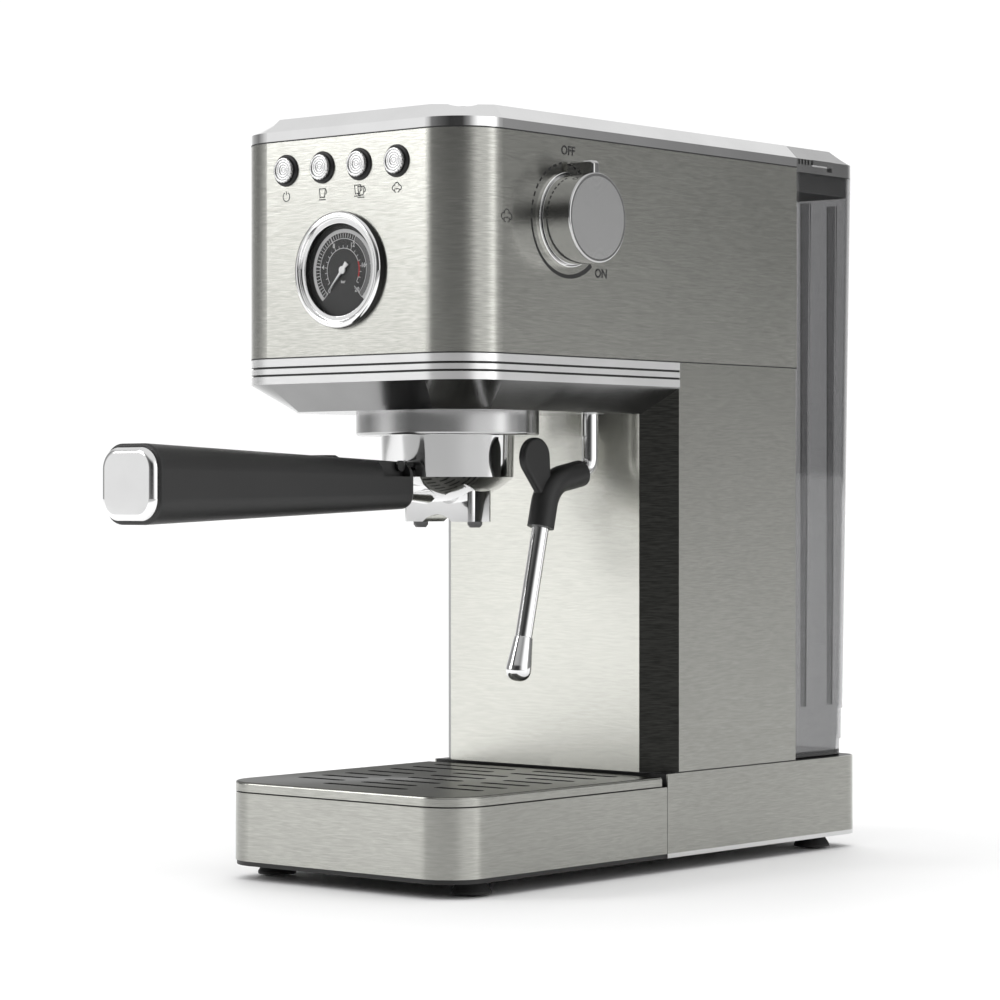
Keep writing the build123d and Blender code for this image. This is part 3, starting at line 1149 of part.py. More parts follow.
def make_parts():
    """Every node of the machine by name."""
    parts = {}
    feet = make_rubber_feet()
    trim = make_rear_base_trim()
    block = skirt_block(0.0)
    group_hole = rod((0, GROUP_Y, HEAD_UNDERSIDE - WALL), UP, BOILER_RADIUS + GAP, 3 * WALL)
    depth = TRIM_THICK + 3 * WALL
    openings = [rod((x, -WALL, BUTTON_Z), BACK, RING_HOLE, depth) for x in BUTTON_X]
    openings.append(rod((CONTROL_X, -WALL, GAUGE_Z), BACK, CASE_RADIUS + GAP, depth))
    openings.append(rod((CHASSIS_HALF - 2 * WALL, KNOB_Y, KNOB_Z), RIGHT, STEM_RADIUS + STEM_CLEAR, depth))
    pump_way = rod((0, PUMP_Y, 0), UP, 2 * HOSE_RADIUS, CHASSIS_FLOOR + WALL)
    parts["base_pan"] = make_base_pan(trim, feet)
    parts["rubber_feet"] = feet
    parts["rear_base_trim"] = trim
    parts["rear_base_wrap"] = make_rear_base_wrap()
    parts["base_deck"] = make_base_deck()
    parts["tank_socket"] = make_tank_socket()
    parts["cord_gland"] = make_cord_gland()
    parts["tray_wrap"] = make_tray_wrap()
    parts["tray_box"] = make_tray_box()
    parts["drip_grid"] = make_drip_grid()
    parts["column_frame"] = make_column_frame(block)
    parts["splash_panel"] = make_splash_panel(block)
    parts["column_side_left"] = make_column_side(-1)
    parts["column_side_right"] = make_column_side(1)
    parts["head_chassis"] = make_head_chassis(openings, pump_way)
    parts["head_wrap"] = make_head_wrap(openings)
    parts["lower_trim"] = make_lower_trim()
    parts["head_skirt"] = make_head_skirt(group_hole)
    parts["top_trim"] = make_top_trim()
    parts["warming_plate"] = make_warming_plate()
    parts["group_collar"] = make_group_collar()
    parts["group_gasket"] = make_group_gasket()
    parts["shower_screen"] = make_shower_screen()
    parts["boiler"] = make_boiler()
    parts["portafilter_body"] = make_portafilter_body()
    parts["filter_basket"] = make_filter_basket()
    parts["spout_block"] = make_spout_block()
    parts["spout_nozzles"] = make_spout_nozzles()
    parts["portafilter_handle"] = make_portafilter_handle()
    parts["handle_cap"] = make_handle_cap()
    parts["basket_clip"] = make_basket_clip()
    parts["gauge_bezel"] = make_gauge_bezel()
    parts["gauge_case"] = make_gauge_case()
    parts["gauge_dial"] = make_gauge_dial()
    parts["gauge_lens"] = make_gauge_lens()
    parts["gauge_needle"] = make_gauge_needle()
    parts["button_rings"] = make_button_rings()
    names = ("power_button", "one_cup_button", "two_cup_button", "steam_button")
    for name, x in zip(names, BUTTON_X):
        parts[name] = make_push_button(x)
    parts["control_board"] = make_control_board()
    parts["knob_collar"] = make_knob_collar()
    parts["steam_knob"] = make_steam_knob()
    parts["knob_cap"] = make_knob_cap()
    parts["valve_stem"] = make_valve_stem()
    parts["steam_valve"] = make_steam_valve()
    parts["steam_pipe"] = make_steam_pipe()
    parts["wand_nut"] = make_wand_nut()
    parts["wand_tube"] = make_wand_tube()
    parts["wand_sleeve"] = make_wand_sleeve()
    parts["wand_tip"] = make_wand_tip()
    parts["water_tank"] = make_water_tank()
    parts["tank_valve"] = make_tank_valve()
    parts["tank_lid"] = make_tank_lid()
    parts["pump_shelf"] = make_pump_shelf()
    parts["pump_mounts"] = make_pump_mounts()
    parts["pump"] = make_pump()
    parts["suction_hose"] = make_suction_hose()
    parts["pressure_hose"] = make_pressure_hose()
    return parts


os.makedirs("parts", exist_ok=True)
for node, shape in make_parts().items():
    solids = shape if isinstance(shape, list) else shape.solids()
    placed = [Pos(-ORIGIN[0], -ORIGIN[1], -ORIGIN[2]) * solid for solid in solids]
    export_step(placed[0] if len(placed) == 1 else Compound(placed), "parts/" + node + ".step")
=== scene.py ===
# %% [markdown]
# # A slim pump espresso machine
# The solids of the machine come packed from the CAD model and stay where they are.
# This lesson dresses them: every finish is a node material, and everything printed
# or screwed on is modelled here and rides on the body that carries it.

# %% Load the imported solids
import math

import bpy
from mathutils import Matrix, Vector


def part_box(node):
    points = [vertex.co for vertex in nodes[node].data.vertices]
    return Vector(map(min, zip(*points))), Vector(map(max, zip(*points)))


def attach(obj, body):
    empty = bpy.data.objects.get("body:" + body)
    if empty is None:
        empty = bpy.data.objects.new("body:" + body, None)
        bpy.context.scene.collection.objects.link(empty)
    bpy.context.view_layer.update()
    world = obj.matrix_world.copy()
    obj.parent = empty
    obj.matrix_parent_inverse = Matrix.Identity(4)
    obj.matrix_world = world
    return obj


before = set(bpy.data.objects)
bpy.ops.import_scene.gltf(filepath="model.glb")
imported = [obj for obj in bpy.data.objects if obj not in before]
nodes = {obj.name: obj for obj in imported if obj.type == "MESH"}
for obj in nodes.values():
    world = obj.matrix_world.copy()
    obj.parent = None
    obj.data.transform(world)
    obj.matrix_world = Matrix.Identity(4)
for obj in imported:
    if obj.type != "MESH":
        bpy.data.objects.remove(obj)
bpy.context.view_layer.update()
MM = 0.001

# %% [markdown]
# ## Camera
# The photograph was taken with a long lens from the front right, level with the grip.
# The place was fitted to the straight edges of the head and the base, so plain numbers
# are given here: a 36 mm sensor, a square picture and no shift.

# %% Camera
SENSOR = 36.0
LENS = 117.8
CAMERA_PLACE = (0.95997, -1.11354, 0.16663)
CAMERA_BEARING = 40.51
camera_data = bpy.data.cameras.new("photo_camera")
camera_data.sensor_width = SENSOR
camera_data.lens = LENS
camera = bpy.data.objects.new("photo_camera", camera_data)
bpy.context.scene.collection.objects.link(camera)
camera.location = CAMERA_PLACE
camera.rotation_euler = (math.radians(90.0), 0.0, math.radians(CAMERA_BEARING))
bpy.context.scene.camera = camera
print("camera at", [round(value, 3) for value in camera.location])

# %% [markdown]
# ## Studio
# Brushed and polished metal shows the room, so the room matters more than lamps. The
# walls are painted by bearing: straight in front of the machine is 0 degrees and its
# right side is 90. A bright strip at the front left lights the flat front, a second one
# at the right draws the light line along the right corner, the wall behind the camera
# stays dark, and the wall behind the machine is white like the picture's background.

# %% Tones of the room
BEHIND_LEFT = ((-180, 0.80), (-152, 1.05), (-126, 1.05), (-100, 0.45), (-74, 0.22))
FRONT_LEFT_STRIP = ((-58, 0.50), (-48, 0.85), (-38, 0.90), (-31, 0.55), (-24, 0.20))
DARK_FRONT = ((-8, 0.12), (18, 0.04), (44, 0.05), (58, 0.30))
RIGHT_STRIP = ((76, 1.15), (98, 1.25), (113, 2.3), (122, 0.95))
BEHIND_RIGHT = ((130, 0.40), (139, 0.29), (147, 0.18), (162, 0.32), (180, 0.80))
WALL_TONES = BEHIND_LEFT + FRONT_LEFT_STRIP + DARK_FRONT + RIGHT_STRIP + BEHIND_RIGHT
DOME_TONE = 0.80
DOME_FROM, DOME_FULL = 0.36, 0.72
print("wall tones:", len(WALL_TONES))

# %% [markdown]
# The walls could be real panels, but a painted world costs nothing and can't cast a shadow.
# The bearing of a ray picks its tone from the list, and high up the walls fade into an even
# dome.

# %% World
world = bpy.data.worlds.new("studio")
bpy.context.scene.world = world
world.use_nodes = True
sky = world.node_tree
sky.nodes.clear()


def sky_node(kind, operation=None, **values):
    """Adds a node to the world and sets its inputs."""
    node = sky.nodes.new(kind)
    if operation:
        node.operation = operation
    for key, value in values.items():
        node.inputs[key].default_value = value
    return node


looking = sky_node("ShaderNodeTexCoord")
heading = sky_node("ShaderNodeSeparateXYZ")
sky.links.new(looking.outputs["Generated"], heading.inputs["Vector"])
forward = sky_node("ShaderNodeMath", "MULTIPLY")
forward.inputs[1].default_value = -1.0
sky.links.new(heading.outputs["Y"], forward.inputs[0])
bearing = sky_node("ShaderNodeMath", "ARCTAN2")
sky.links.new(heading.outputs["X"], bearing.inputs[0])
sky.links.new(forward.outputs["Value"], bearing.inputs[1])
turn_share = sky_node("ShaderNodeMapRange", **{"From Min": -math.pi, "From Max": math.pi})
sky.links.new(bearing.outputs["Value"], turn_share.inputs["Value"])
walls = sky_node("ShaderNodeValToRGB")
while len(walls.color_ramp.elements) < len(WALL_TONES):
    walls.color_ramp.elements.new(0.5)
for stop, (degrees, tone) in zip(walls.color_ramp.elements, WALL_TONES):
    stop.position = (degrees + 180.0) / 360.0
    stop.color = (tone, tone, tone, 1.0)
sky.links.new(turn_share.outputs["Result"], walls.inputs["Fac"])
overhead = sky_node("ShaderNodeMapRange", **{"From Min": DOME_FROM, "From Max": DOME_FULL})
overhead.interpolation_type = "SMOOTHSTEP"
sky.links.new(heading.outputs["Z"], overhead.inputs["Value"])
dome = sky_node("ShaderNodeMixRGB", Color2=(DOME_TONE, DOME_TONE, DOME_TONE, 1.0))
sky.links.new(overhead.outputs["Result"], dome.inputs["Fac"])
sky.links.new(walls.outputs["Color"], dome.inputs["Color1"])
glow = sky_node("ShaderNodeBackground", Strength=1.0)
sky.links.new(dome.outputs["Color"], glow.inputs["Color"])
sky_end = sky_node("ShaderNodeOutputWorld")
sky.links.new(glow.outputs["Background"], sky_end.inputs["Surface"])
bpy.context.scene.view_settings.view_transform = "Standard"
print("world nodes:", len(sky.nodes))

# %% [markdown]
# A very soft light from above keeps the pale floor white and lays a faint shadow under
# the machine. The metal doesn't mirror it, as the room already gives the metal its tones.

# %% Light from above
SUN_POWER = 1.5
SUN_SPREAD = math.radians(100.0)
SUN_PLACE = (0.0, 0.0, 2.0)
soft_data = bpy.data.lights.new("soft_from_above", "SUN")
soft_data.energy = SUN_POWER
soft_data.angle = SUN_SPREAD
soft_light = bpy.data.objects.new("soft_from_above", soft_data)
bpy.context.scene.collection.objects.link(soft_light)
soft_light.location = SUN_PLACE
soft_light.visible_glossy = False
print("light from above:", soft_data.energy)

# %% [markdown]
# One soft box hangs at the front left, above the level of the machine. Brushed steel
# spreads its light down the flat front, and polished trims look past it to the wall.

# %% Front soft box
SOFT_BOX_BEARING = math.radians(-42.0)
SOFT_BOX_AWAY = 4.0
SOFT_BOX_HEIGHT = 1.95
SOFT_BOX_TILT = math.radians(70.0)
SOFT_BOX_SIZE = (1.3, 1.9)
SOFT_BOX_POWER = 45.0
box_data = bpy.data.lights.new("front_soft_box", "AREA")
box_data.shape = "RECTANGLE"
box_data.size, box_data.size_y = SOFT_BOX_SIZE
box_data.energy = SOFT_BOX_POWER
front_box = bpy.data.objects.new("front_soft_box", box_data)
bpy.context.scene.collection.objects.link(front_box)
sideways = SOFT_BOX_AWAY * math.sin(SOFT_BOX_BEARING)
forwards = SOFT_BOX_AWAY * math.cos(SOFT_BOX_BEARING)
front_box.location = (sideways, -forwards, SOFT_BOX_HEIGHT)
front_box.rotation_euler = (SOFT_BOX_TILT, 0.0, SOFT_BOX_BEARING)
front_box.visible_camera = False
print("front soft box:", box_data.energy)

# %% [markdown]
# ## Tools for finishes
# Each finish starts from object coordinates, so a pattern keeps its real size in metres.
# Noise stretched along one direction gives hair lines, even noise gives moulding grain
# and wiping marks.

# %% Patterns


def start_fresh():
    """Leaves edit mode and deselects all, so that an operator acts only on what is new."""
    if bpy.context.mode != "OBJECT":
        bpy.ops.object.mode_set(mode="OBJECT")
    bpy.ops.object.select_all(action="DESELECT")


def new_finish(name):
    """Makes a node material and returns it with its tree and its main shader."""
    material = bpy.data.materials.new(name)
    material.use_nodes = True
    tree = material.node_tree
    return material, tree, tree.nodes["Principled BSDF"]


def pattern_at(tree, scale=(1.0, 1.0, 1.0), centre=(0.0, 0.0, 0.0)):
    """Object coordinates counted from a centre and stretched by a scale."""
    place = tree.nodes.new("ShaderNodeTexCoord")
    from_centre = tree.nodes.new("ShaderNodeVectorMath")
    from_centre.operation = "SUBTRACT"
    from_centre.inputs[1].default_value = centre
    stretched = tree.nodes.new("ShaderNodeVectorMath")
    stretched.operation = "MULTIPLY"
    stretched.inputs[1].default_value = scale
    tree.links.new(place.outputs["Object"], from_centre.inputs[0])
    tree.links.new(from_centre.outputs["Vector"], stretched.inputs[0])
    return stretched.outputs["Vector"]


def noise_at(tree, vector, scale, detail):
    """Noise read at a pattern's coordinates."""
    noise = tree.nodes.new("ShaderNodeTexNoise")
    noise.inputs["Scale"].default_value = scale
    noise.inputs["Detail"].default_value = detail
    tree.links.new(vector, noise.inputs["Vector"])
    return noise.outputs["Fac"]


print("pattern tools ready")

# %% [markdown]
# A noise alone is only a number. These tools turn it into a run of tones, a range of gloss
# or a relief of a real depth.

# %% Tones, values and relief
RAMP_ENDS = (0.2, 0.8)


def tone_between(tree, factor, dark, light):
    """Colour that runs from dark to light over a noise."""
    ramp = tree.nodes.new("ShaderNodeValToRGB")
    for stop, place, tone in zip(ramp.color_ramp.elements, RAMP_ENDS, (dark, light)):
        stop.position = place
        stop.color = (*tone, 1.0)
    tree.links.new(factor, ramp.inputs["Fac"])
    return ramp.outputs["Color"]


def value_between(tree, factor, low, high):
    """Spreads a noise evenly over a range of values."""
    spread = tree.nodes.new("ShaderNodeMapRange")
    spread.clamp = False
    spread.inputs["To Min"].default_value = low
    spread.inputs["To Max"].default_value = high
    tree.links.new(factor, spread.inputs["Value"])
    return spread.outputs["Result"]


def relief(tree, shader, factor, depth):
    """Bump of a real depth in metres."""
    bump = tree.nodes.new("ShaderNodeBump")
    bump.inputs["Distance"].default_value = depth
    tree.links.new(factor, bump.inputs["Height"])
    tree.links.new(bump.outputs["Normal"], shader.inputs["Normal"])


def grey(tone, warmth=0.0):
    """A grey, a little yellow when asked."""
    return (tone, tone, tone * (1.0 - warmth))


print("tone tools ready")

# %% [markdown]
# ## Kinds of finish
# A moulding takes the grain of its mould, so one fine noise drives its gloss and its relief
# together and a broad one shifts its tone.

# %% Mouldings
MOULD_CLOUDS = 18.0
MOULD_GLOSS = 0.1


def moulded(name, dark, light, grain, rough, depth):
    """Moulded plastic or rubber: fine grain in tone, gloss and relief."""
    material, tree, shader = new_finish(name)
    fine = noise_at(tree, pattern_at(tree), grain, 3.0)
    broad = noise_at(tree, pattern_at(tree), MOULD_CLOUDS, 2.0)
    tree.links.new(tone_between(tree, broad, dark, light), shader.inputs["Base Color"])
    gloss = value_between(tree, fine, rough - MOULD_GLOSS, rough + MOULD_GLOSS)
    tree.links.new(gloss, shader.inputs["Roughness"])
    relief(tree, shader, fine, depth)
    return material


print("mouldings ready")

# %% [markdown]
# Brushed sheet is drawn under a belt, which leaves hair lines. Its noise is squeezed into
# such lines, and its gloss is anisotropic, because the lines spread a highlight across
# them. Plating is a mirror whose gloss is cloudy from wiping.

# %% Brushed sheet and plating
BRUSH_PULL = 0.8
BRUSH_TURN = 0.25
BRUSH_CLOUDS = 9.0
BRUSH_GLOSS = 0.05
STEEL_WARMTH = 0.07
WIPE_MARKS = 40.0
WIPE_LOW, WIPE_HIGH = 0.6, 1.4


def brushed(name, tone, contrast, stretch, rough, depth, edge=1.0):
    """Brushed steel: short hair lines, and highlights drawn out across them."""
    material, tree, shader = new_finish(name)
    shader.inputs["Metallic"].default_value = 1.0
    shader.inputs["Specular Tint"].default_value = (edge, edge, edge, 1.0)
    shader.inputs["Anisotropic"].default_value = BRUSH_PULL
    shader.inputs["Anisotropic Rotation"].default_value = BRUSH_TURN
    along = tree.nodes.new("ShaderNodeTangent")
    along.direction_type = "RADIAL"
    along.axis = "Z"
    tree.links.new(along.outputs["Tangent"], shader.inputs["Tangent"])
    lines = noise_at(tree, pattern_at(tree, stretch), 1.0, 2.0)
    clouds = noise_at(tree, pattern_at(tree), BRUSH_CLOUDS, 1.0)
    dark = grey(tone - contrast, STEEL_WARMTH)
    light = grey(tone + contrast, STEEL_WARMTH)
    tree.links.new(tone_between(tree, lines, dark, light), shader.inputs["Base Color"])
    gloss = value_between(tree, clouds, rough - BRUSH_GLOSS, rough + BRUSH_GLOSS)
    tree.links.new(gloss, shader.inputs["Roughness"])
    relief(tree, shader, lines, depth)
    return material


def polished(name, dark, light, rough, metal=1.0):
    """Polished plating: a mirror with faint cloudy wiping marks in its gloss."""
    material, tree, shader = new_finish(name)
    shader.inputs["Metallic"].default_value = metal
    clouds = noise_at(tree, pattern_at(tree), WIPE_MARKS, 3.0)
    tree.links.new(tone_between(tree, clouds, dark, light), shader.inputs["Base Color"])
    gloss = value_between(tree, clouds, rough * WIPE_LOW, rough * WIPE_HIGH)
    tree.links.new(gloss, shader.inputs["Roughness"])
    return material


print("sheet and plating ready")

# %% [markdown]
# A face cut on a lathe shows rings, so a ring wave round the axis of the piece drives its
# tone, gloss and relief.

# %% Turned faces
WAVE_RINGS = math.tau / 20.0
RING_WANDER = 0.6
RING_GLOSS = 0.04


def turned(name, centre, axis, tone, pitch, rough, contrast, depth):
    """A face cut on a lathe: fine rings round an axis through a centre."""
    material, tree, shader = new_finish(name)
    shader.inputs["Metallic"].default_value = 1.0
    rings = tree.nodes.new("ShaderNodeTexWave")
    rings.wave_type = "RINGS"
    rings.rings_direction = axis
    rings.inputs["Scale"].default_value = WAVE_RINGS / pitch
    rings.inputs["Distortion"].default_value = RING_WANDER
    tree.links.new(pattern_at(tree, centre=centre), rings.inputs["Vector"])
    lines = rings.outputs["Fac"]
    shade = tone_between(tree, lines, grey(tone - contrast), grey(tone + contrast))
    tree.links.new(shade, shader.inputs["Base Color"])
    gloss = value_between(tree, lines, rough - RING_GLOSS, rough + RING_GLOSS)
    tree.links.new(gloss, shader.inputs["Roughness"])
    relief(tree, shader, lines, depth)
    return material


print("turned faces ready")

# %% [markdown]
# Clear mouldings pass light: the wall of the tank bends and tints it, while the flat window
# over the dial lets it straight through and keeps only a faint gloss.

# %% Clear mouldings
PLASTIC_IOR = 1.46
RIPPLES = (40.0, 40.0, 3.0)
RIPPLE_LOW, RIPPLE_HIGH = 0.7, 1.3
TINT_SHADE = 0.93
WINDOW_HAZE = 60.0
WINDOW_TONE = 0.02
WINDOW_CLEAN, WINDOW_WIPED = 0.02, 0.08


def clear(name, tint, rough, wavy):
    """Clear moulding: light passes through and is tinted on the way."""
    material, tree, shader = new_finish(name)
    shader.inputs["Transmission Weight"].default_value = 1.0
    shader.inputs["IOR"].default_value = PLASTIC_IOR
    ripple = noise_at(tree, pattern_at(tree, RIPPLES), 1.0, 2.0)
    darker = tuple(value * TINT_SHADE for value in tint)
    tree.links.new(tone_between(tree, ripple, darker, tint), shader.inputs["Base Color"])
    gloss = value_between(tree, ripple, rough * RIPPLE_LOW, rough * RIPPLE_HIGH)
    tree.links.new(gloss, shader.inputs["Roughness"])
    relief(tree, shader, ripple, wavy)
    return material


def window(name, thin, thick):
    """A flat clear window: nearly all light goes straight through, and a faint gloss stays."""
    material, tree, shader = new_finish(name)
    shader.inputs["Base Color"].default_value = (*grey(WINDOW_TONE), 1.0)
    haze = noise_at(tree, pattern_at(tree), WINDOW_HAZE, 2.0)
    tree.links.new(value_between(tree, haze, thin, thick), shader.inputs["Alpha"])
    gloss = value_between(tree, haze, WINDOW_CLEAN, WINDOW_WIPED)
    tree.links.new(gloss, shader.inputs["Roughness"])
    return material


print("clear mouldings ready")

# %% [markdown]
# ## Floor
# A wide pale floor, cut into a few squares. Far in front its colour grows darker, a painted shade,
# and the rounded corners of the steel mirror that part.

# %% Floor
FLOOR_SIZE = 60.0
FLOOR_LEVEL = -0.001
FLOOR_NEAR, FLOOR_FAR = 0.38, 2.2
FLOOR_PALE, FLOOR_PAINTED_SHADE = grey(0.94), grey(0.42)
FLOOR_ROUGH, FLOOR_GRAIN, FLOOR_RELIEF = 0.6, 300.0, 0.00002
CAMERA_WAY = (0.653, -0.757, 0.0)
start_fresh()
bpy.ops.mesh.primitive_plane_add(size=FLOOR_SIZE, location=(0.0, 0.0, FLOOR_LEVEL))
floor = bpy.context.active_object
floor.name = "floor"
bpy.ops.object.mode_set(mode="EDIT")
bpy.ops.mesh.select_all(action="SELECT")
bpy.ops.mesh.subdivide(number_cuts=3)
bpy.ops.object.mode_set(mode="OBJECT")
bpy.ops.object.transform_apply(location=True, rotation=True, scale=True)
pale_floor, floor_tree, floor_shader = new_finish("pale_floor")
floor_shader.inputs["Roughness"].default_value = FLOOR_ROUGH
towards_camera = floor_tree.nodes.new("ShaderNodeVectorMath")
towards_camera.operation = "DOT_PRODUCT"
towards_camera.inputs[1].default_value = CAMERA_WAY
floor_tree.links.new(pattern_at(floor_tree), towards_camera.inputs[0])
# Painted shade: the floor's colour runs from pale to a darker grey far in front.
painted_shade_fall_off = floor_tree.nodes.new("ShaderNodeMapRange")
painted_shade_fall_off.interpolation_type = "SMOOTHSTEP"
painted_shade_fall_off.inputs["From Min"].default_value = FLOOR_NEAR
painted_shade_fall_off.inputs["From Max"].default_value = FLOOR_FAR
floor_tree.links.new(towards_camera.outputs["Value"], painted_shade_fall_off.inputs["Value"])
floor_tone = tone_between(floor_tree, painted_shade_fall_off.outputs["Result"], FLOOR_PALE, FLOOR_PAINTED_SHADE)
floor_tree.links.new(floor_tone, floor_shader.inputs["Base Color"])
floor_grain = noise_at(floor_tree, pattern_at(floor_tree), FLOOR_GRAIN, 3.0)
relief(floor_tree, floor_shader, floor_grain, FLOOR_RELIEF)
floor.data.materials.append(pale_floor)
print("floor faces:", len(floor.data.polygons))

# %% [markdown]
# ## Finishes for the solids
# The machine has few finishes: sheet steel brushed along its length, polished plating,
# turned plating, black and charcoal mouldings, rubber and a smoky tank. Hair lines run
# level on upright sheets, so their noise is squeezed in height. On lying sheets it is
# squeezed across instead.

# %% Finishes
HAIR_LINES = (170.0, 170.0, 2200.0)
HAIR_LINES_LYING = (190.0, 2200.0, 190.0)
FINE_HAIR = (HAIR_LINES, 0.23, 0.0000003)
INK_COAT = (2000.0, 0.5, 0.000002)
steel_head = brushed("steel_head", 0.42, 0.08, *FINE_HAIR)
steel_body = brushed("steel_body", 0.38, 0.06, *FINE_HAIR)
# The splash panel's lighter steel is painted light.
steel_panel_painted_light = brushed("steel_panel_painted_light", 0.56, 0.05, *FINE_HAIR)
# Near-black steel for the folded corners of the panel: painted shade.
steel_painted_shade = brushed("steel_corner_painted_shade", 0.04, 0.018, HAIR_LINES, 0.34, 0.000002, 0.7)
# Darker steel with a dimmer edge for the lying sheets: painted shade.
steel_lying_painted_shade = brushed("steel_lying_painted_shade", 0.16, 0.05, HAIR_LINES_LYING, 0.36, 0.000002, 0.45)
chrome = polished("polished_chrome", grey(0.82), grey(0.90), 0.06)
chrome_dark = polished("smoked_chrome", grey(0.27), grey(0.33), 0.16)
bright_plating = polished("bright_plating", grey(0.84), grey(0.90), 0.14, 0.6)
satin = polished("satin_chrome", grey(0.46), grey(0.54), 0.20)
lid_plating = polished("lid_plating", grey(0.46), grey(0.54), 0.16)
lid_inside = moulded("lid_inside", grey(0.30), grey(0.36), 1800.0, 0.5, 0.00003)
# Darker chrome on the steam knob: painted shade.
chrome_painted_shade = polished("knob_chrome_painted_shade", grey(0.50), grey(0.58), 0.09)
black_moulding = moulded("black_moulding", grey(0.004), grey(0.008), 2600.0, 0.44, 0.00002)
charcoal_grip = moulded("charcoal_grip", grey(0.010), grey(0.016), 3000.0, 0.46, 0.00003)
grey_moulding = moulded("grey_moulding", grey(0.10), grey(0.13), 1800.0, 0.5, 0.000008)
foot_rubber = moulded("foot_rubber", grey(0.010), grey(0.018), 1500.0, 0.7, 0.00004)
dial_card = moulded("dial_card", grey(0.022), grey(0.028), 2500.0, 0.5, 0.00001)
silver_edge = polished("silver_edge", grey(0.62), grey(0.70), 0.2)
needle_paint = moulded("needle_paint", grey(0.86), grey(0.94), 900.0, 0.4, 0.00001)
cast_block = moulded("cast_block", grey(0.40), grey(0.50), 900.0, 0.5, 0.0001)
brass = polished("machined_brass", (0.62, 0.46, 0.20), (0.70, 0.54, 0.26), 0.25)
hose_silicone = moulded("hose_silicone", grey(0.62, 0.04), grey(0.70, 0.04), 600.0, 0.5, 0.00005)
board_lacquer = moulded("board_lacquer", (0.01, 0.12, 0.04), (0.02, 0.18, 0.07), 900.0, 0.35, 0.00003)
pump_nylon = moulded("pump_nylon", grey(0.50, 0.1), grey(0.60, 0.1), 900.0, 0.55, 0.00005)
zinc_plate = polished("zinc_plate", grey(0.50), grey(0.60), 0.35)
smoky_tank = clear("smoky_tank", grey(0.44, -0.01), 0.03, 0.00005)
lens_clear = window("lens_clear", 0.05, 0.09)
dark_ink = moulded("dark_ink", grey(0.008), grey(0.014), *INK_COAT)
pale_ink = moulded("pale_ink", grey(0.60), grey(0.68), *INK_COAT)
grey_ink = moulded("grey_ink", grey(0.13), grey(0.17), *INK_COAT)
red_ink = moulded("red_ink", (0.42, 0.02, 0.02), (0.52, 0.03, 0.03), *INK_COAT)
print("finishes:", len(bpy.data.materials))

# %% [markdown]
# ## Dressing the solids
# Every solid gets one finish, listed by finish so that pieces made alike look alike. The
# turned faces need their own centre, so each button has a finish of its own.

# %% Hand the finishes to the solids
BUTTON_RINGS = (0.56, 0.0011, 0.22, 0.07, 0.00002)
KNOB_RINGS = (0.62, 0.0005, 0.28, 0.03, 0.0)


def middle(node):
    """The middle of a solid's box."""
    low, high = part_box(node)
    return (low + high) / 2.0


BUTTONS = ("power_button", "one_cup_button", "two_cup_button", "steam_button")
finish_of = {
    steel_head: ("head_wrap",),
    steel_body: ("tray_wrap", "rear_base_wrap", "column_side_left", "column_side_right"),
    steel_panel_painted_light: ("splash_panel",),
    steel_lying_painted_shade: ("drip_grid", "warming_plate", "shower_screen", "filter_basket"),
    bright_plating: ("lower_trim",),
    chrome: ("top_trim", "portafilter_body", "spout_block", "handle_cap", "gauge_bezel",
             "knob_collar", "wand_tube", "wand_tip"),
    lid_plating: ("tank_lid",),
    chrome_painted_shade: ("steam_knob",),
    chrome_dark: ("head_skirt",),
    satin: ("group_collar",),
    black_moulding: ("base_pan", "base_deck", "tank_socket", "cord_gland", "tray_box", "basket_clip",
                     "gauge_case", "button_rings", "tank_valve", "wand_sleeve"),
    charcoal_grip: ("portafilter_handle",),
    grey_moulding: ("column_frame", "head_chassis", "spout_nozzles"),
    foot_rubber: ("rubber_feet", "group_gasket", "pump_mounts"),
    dial_card: ("gauge_dial",),
    silver_edge: ("rear_base_trim",),
    needle_paint: ("gauge_needle",),
    cast_block: ("boiler",),
    brass: ("steam_valve", "valve_stem"),
    hose_silicone: ("steam_pipe", "suction_hose", "pressure_hose"),
    board_lacquer: ("control_board",),
    pump_nylon: ("pump",),
    zinc_plate: ("pump_shelf", "wand_nut"),
    smoky_tank: ("water_tank",),
    lens_clear: ("gauge_lens",),
    turned("turned_knob_face", middle("knob_cap"), "X", *KNOB_RINGS): ("knob_cap",),
}
for button in BUTTONS:
    finish_of[turned("turned_" + button, middle(button), "Y", *BUTTON_RINGS)] = (button,)
for finish, names in finish_of.items():
    for name in names:
        nodes[name].data.materials.clear()
        nodes[name].data.materials.append(finish)
print("solids dressed:", sum(len(names) for names in finish_of.values()), "of", len(nodes))

# %% [markdown]
# ## Faces with a second finish
# The folded front corners of the column panel are turned to the dark side of the room, so they
# get a nearly black steel, which is painted shade. The walls of the grid's slots are painted black
# as shade, where they look only into the black tray below, and the grid's upright edge is brushed
# like the sheets. Those faces are picked by their direction and place and take a finish of their
# own, so that the solids stay whole.

# %% Folded corners and grid
GRID_RIM = 6.0 * MM
GRID_SKIN = 0.2 * MM
UPRIGHT, SLANTED = 0.7, 0.35
grid_low, grid_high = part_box("drip_grid")


def dress_faces(node, finish, picks):
    """Gives one more finish to the faces that a test on their direction and middle picks."""
    mesh = nodes[node].data
    mesh.materials.append(finish)
    count = 0
    for face in mesh.polygons:
        if picks(face.normal, face.center):
            face.material_index = len(mesh.materials) - 1
            count = count + 1
    print(node, finish.name, "faces:", count)


def on_folded_corner(way, place):
    """The slanted faces that the column panel folds round its front corners."""
    return abs(way.x) > SLANTED and way.y < -SLANTED


def within_rim(place):
    """True for a place well inside the rim of the grid."""
    across = grid_low.x + GRID_RIM < place.x < grid_high.x - GRID_RIM
    return across and grid_low.y + GRID_RIM < place.y < grid_high.y - GRID_RIM


